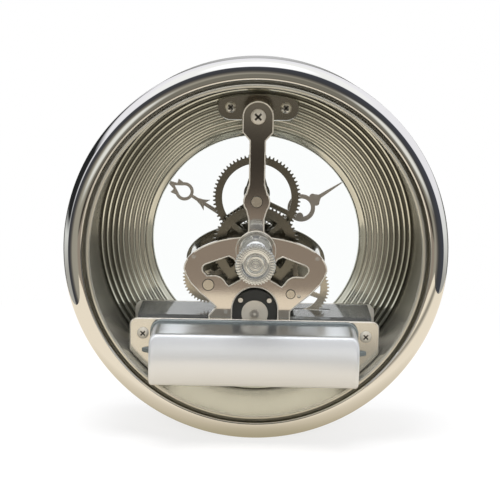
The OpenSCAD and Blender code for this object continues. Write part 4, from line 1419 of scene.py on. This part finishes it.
@dataclass
class Studio:
    """Camera, light, table and world, in metres."""

    floor_z: float = -0.0658
    table_drop: float = 0.0005
    rim_y: float = 0.0086
    camera_d: float = 0.49
    camera_elevation: float = 10.5
    focal_px: float = 1452.0
    image_px: float = 500.0
    aim_px: tuple[float, float] = (255.8, 255.2)
    roll: float = 1.0
    floor_white: float = 0.75
    floor_fade: tuple[float, float] = (5.5, 0.3)
    shade_y: float = 0.018
    shade_width: float = 0.1

    WHITE = (1.0, 1.0, 1.0, 1.0)
    PAPER = (0.95, 0.95, 0.95, 1.0)
    # Cream of the table top from the shade under the drum outwards.
    CREAM = ((0.15, (0.30, 0.26, 0.15)), (0.36, (0.62, 0.54, 0.41)), (0.7, (0.91, 0.81, 0.66)))
    SHADED_CREAM = (0.30, 0.27, 0.22)
    # Brown room from its far side towards the sheet, and what dims it straight ahead from low to high.
    ROOM = ((0.0, (0.36, 0.335, 0.275)), (0.12, (0.34, 0.315, 0.26)), (0.17, (0.16, 0.145, 0.125)),
            (0.24, (0.055, 0.055, 0.058)), (0.6, (0.055, 0.06, 0.08)))
    AHEAD = ((0.19, (0.85, 0.76, 0.75)), (0.215, (0.15, 0.14, 0.14)), (0.29, (0.11, 0.1, 0.1)),
             (0.33, (0.42, 0.41, 0.4)), (0.6, (0.55, 0.55, 0.55)))
    WINDOW = (0.84, 0.83, 0.78)
    # White sheet from low to high, darker low down and at its foot as painted shade, and a dark stand beside
    # it.
    SHEET = ((0.36, (0.42, 0.41, 0.38)), (0.47, (0.78, 0.79, 0.77)), (0.57, (0.88, 0.87, 0.91)),
             (0.85, (0.94, 0.93, 0.98)), (0.9, (1.0, 1.0, 1.0)))
    SHEET_FOOT_SHADE = (0.10, 0.098, 0.09)
    STAND = (0.02, 0.021, 0.022)
    ZENITH = (1.3, 1.3, 1.35)

    def camera(self) -> None:
        """Sets the camera so that the middle of the rear rim falls on aim_px in the picture."""
        rim = Vector((0, self.rim_y, 0))
        e = math.radians(self.camera_elevation)
        back = Vector((0, math.cos(e), math.sin(e)))
        right, up = Vector((-1, 0, 0)), Vector((0, -math.sin(e), math.cos(e)))
        across, down = ((aim - self.image_px / 2) * self.camera_d / self.focal_px for aim in self.aim_px)
        data = bpy.data.cameras.new("camera")
        data.sensor_width = 36.0
        data.lens = data.sensor_width * self.focal_px / self.image_px
        data.clip_start, data.clip_end = 0.01, 20.0
        camera = bpy.data.objects.new("camera", data)
        camera.location = rim + back * self.camera_d
        look = rim - right * across + up * down - camera.location
        camera.rotation_mode = "QUATERNION"
        camera.rotation_quaternion = (look.to_track_quat("-Z", "Y")
                                      @ Quaternion((0, 0, 1), math.radians(self.roll)))
        bpy.context.scene.collection.objects.link(camera)
        bpy.context.scene.camera = camera

    @staticmethod
    def lamp(name: str, place: Sequence[float], size: tuple[float, float], watts: float,
             colour: Colour = (1.0, 1.0, 1.0), aimed: bool = True) -> None:
        """Adds a flat soft light that metal doesn't reflect.

        Args:
            name: Name of the light.
            place: Its place in metres.
            size: Its two sides in metres.
            watts: Its power.
            colour: Its colour.
            aimed: True where it faces the clock, False where it faces straight down.
        """
        data = bpy.data.lights.new(name, "AREA")
        data.shape = "RECTANGLE"
        data.size, data.size_y = size
        data.energy, data.color = watts, colour
        lamp = bpy.data.objects.new(name, data)
        lamp.location = place
        if aimed:
            lamp.rotation_mode = "QUATERNION"
            lamp.rotation_quaternion = (-Vector(place)).to_track_quat("-Z", "Y")
        lamp.visible_glossy = False
        lamp.visible_camera = False
        bpy.context.scene.collection.objects.link(lamp)

    @staticmethod
    def plane(name: str, box: Sequence[float], z: float, material: Material, hidden: Sequence[str]) -> None:
        """Adds a flat stage piece.

        Args:
            name: Its name.
            box: Its x0, x1, y0 and y1 in metres.
            z: Its height in metres.
            material: Its finish.
            hidden: Kinds of rays that don't see it.
        """
        x0, x1, y0, y1 = box
        mesh = bpy.data.meshes.new(name)
        mesh.from_pydata([(x0, y0, z), (x1, y0, z), (x1, y1, z), (x0, y1, z)], [], [(0, 1, 2, 3)])
        mesh.materials.append(material)
        plane = bpy.data.objects.new(name, mesh)
        bpy.context.scene.collection.objects.link(plane)
        for kind in hidden:
            setattr(plane, f"visible_{kind}", False)

    def floor(self) -> None:
        """Adds the pale floor: white paper that keeps a soft shadow, which only the camera and glass see."""
        material, g = new_graph("floor")
        x, y, _ = g.axes(g.place())
        slope, start = self.floor_fade
        far = (x.hypot(y) * slope - start).limit()
        paper = g.even("ShaderNodeBsdfDiffuse", self.PAPER)
        white = g.even("ShaderNodeEmission", self.WHITE)
        g.end(g.mixed(far * (1 - self.floor_white) + self.floor_white, paper, white))
        self.plane("floor", (-6.0, 6.0, -9.0, 3.0), self.floor_z, material, ("glossy", "diffuse"))

    def table(self) -> None:
        """Adds the glowing cream table top that metal reflects, with painted shade under the drum and before
        one side.
        """
        material, g = new_graph("table_top")
        x, y, _ = g.axes(g.place())
        reach = (x * math.sqrt(0.5)).hypot(y + self.shade_y) * (1 / self.shade_width)
        shade_side = y.rise(0.07, 25.0) * y.fall(0.17, 25.0) * x.fall(-0.01, 30.0)
        tint = g.blend(shade_side, g.ramp(reach, self.CREAM), self.SHADED_CREAM)
        g.end(g.even("ShaderNodeEmission", tint))
        self.plane("table_top", (-0.2, 0.155, -0.22, 0.24), self.floor_z - self.table_drop, material,
                   ("camera", "transmission", "shadow"))

    def world(self) -> None:
        """A white sheet behind and above the clock and a dim brown room in front of it.

        Metal reflects both, and the camera and glass see plain white. The edge between sheet and room stands
        upright a little in front of the clock.
        """
        world = bpy.data.worlds.new("studio")
        world.use_nodes = True
        bpy.context.scene.world = world
        g = Graph(world.node_tree)
        x, y, z = g.axes(g.get(g.node("ShaderNodeTexCoord"), "Generated"))
        side = y * -0.966 + z * 0.259
        dimmed = g.blend(y.rise(0.9, 20.0), (1.0, 1.0, 1.0), g.ramp(z * 2.0 + 0.5, self.AHEAD))
        room = g.ramp((side - x * 0.2) * 0.5 + 0.5, self.ROOM).tinted(dimmed)
        window = x.math("ABSOLUTE").rise(0.25, 8.0) * y.rise(0.7, 8.0)
        room = g.blend(window * z.rise(-0.03, 10.0) * z.fall(0.45, 10.0), room, self.WINDOW)
        # The dark foot of the sheet is painted shade.
        foot = z.fall(0.1, 8.0) * y.fall(-0.66, 8.0)
        sheet = g.blend(foot, g.ramp(z * 0.5 + 0.5, self.SHEET), self.SHEET_FOOT_SHADE)
        stand = x.rise(0.3, 8.0) * z.rise(-0.1, 10.0) * z.fall(0.5, 8.0) * y.fall(0.06, 8.0)
        sheet = g.blend(stand, sheet, self.STAND)
        colour = g.blend((side * 14.0 + 1.2).limit(), room, sheet)
        colour = g.blend(z.rise(0.92, 20.0), colour, self.ZENITH)
        rays = g.node("ShaderNodeLightPath")
        seen = g.get(rays, "Is Camera Ray").math("MAXIMUM", g.get(rays, "Is Transmission Ray"))
        around, white = (g.even("ShaderNodeBackground", tone) for tone in (colour, self.WHITE))
        g.end(g.mixed(seen, around, white), "ShaderNodeOutputWorld")

    def build(self) -> None:
        """Makes the camera, the floor, the table, the world and the lights."""
        self.camera()
        self.floor()
        self.table()
        self.world()
        self.lamp("top_light", place=(0.08, 0.15, 0.9), size=(0.6, 0.6), watts=9.0)
        self.lamp("front_light", place=(-0.2, 1.0, 0.3), size=(0.5, 0.5), watts=3.6)
        # Light that comes off the table into the bottom of the case, under the battery box.
        self.lamp("bounce_light", place=(0.0, -0.006, -0.0455), size=(0.056, 0.03), watts=0.017,
                  colour=(1.0, 0.95, 0.84), aimed=False)
        bpy.context.scene.view_settings.view_transform = "Standard"


def main() -> None:
    """Loads the frame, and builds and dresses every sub-assembly."""
    logging.basicConfig(level=logging.INFO, format="%(message)s")
    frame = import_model()
    make = Maker(frame["nodes"])
    Studio().build()
    for assembly in (Case, Dial, Movement, SettingKnob, PowerBox, BatteryCover, Cell):
        assembly(make).build()


if __name__ == "__main__":
    main()
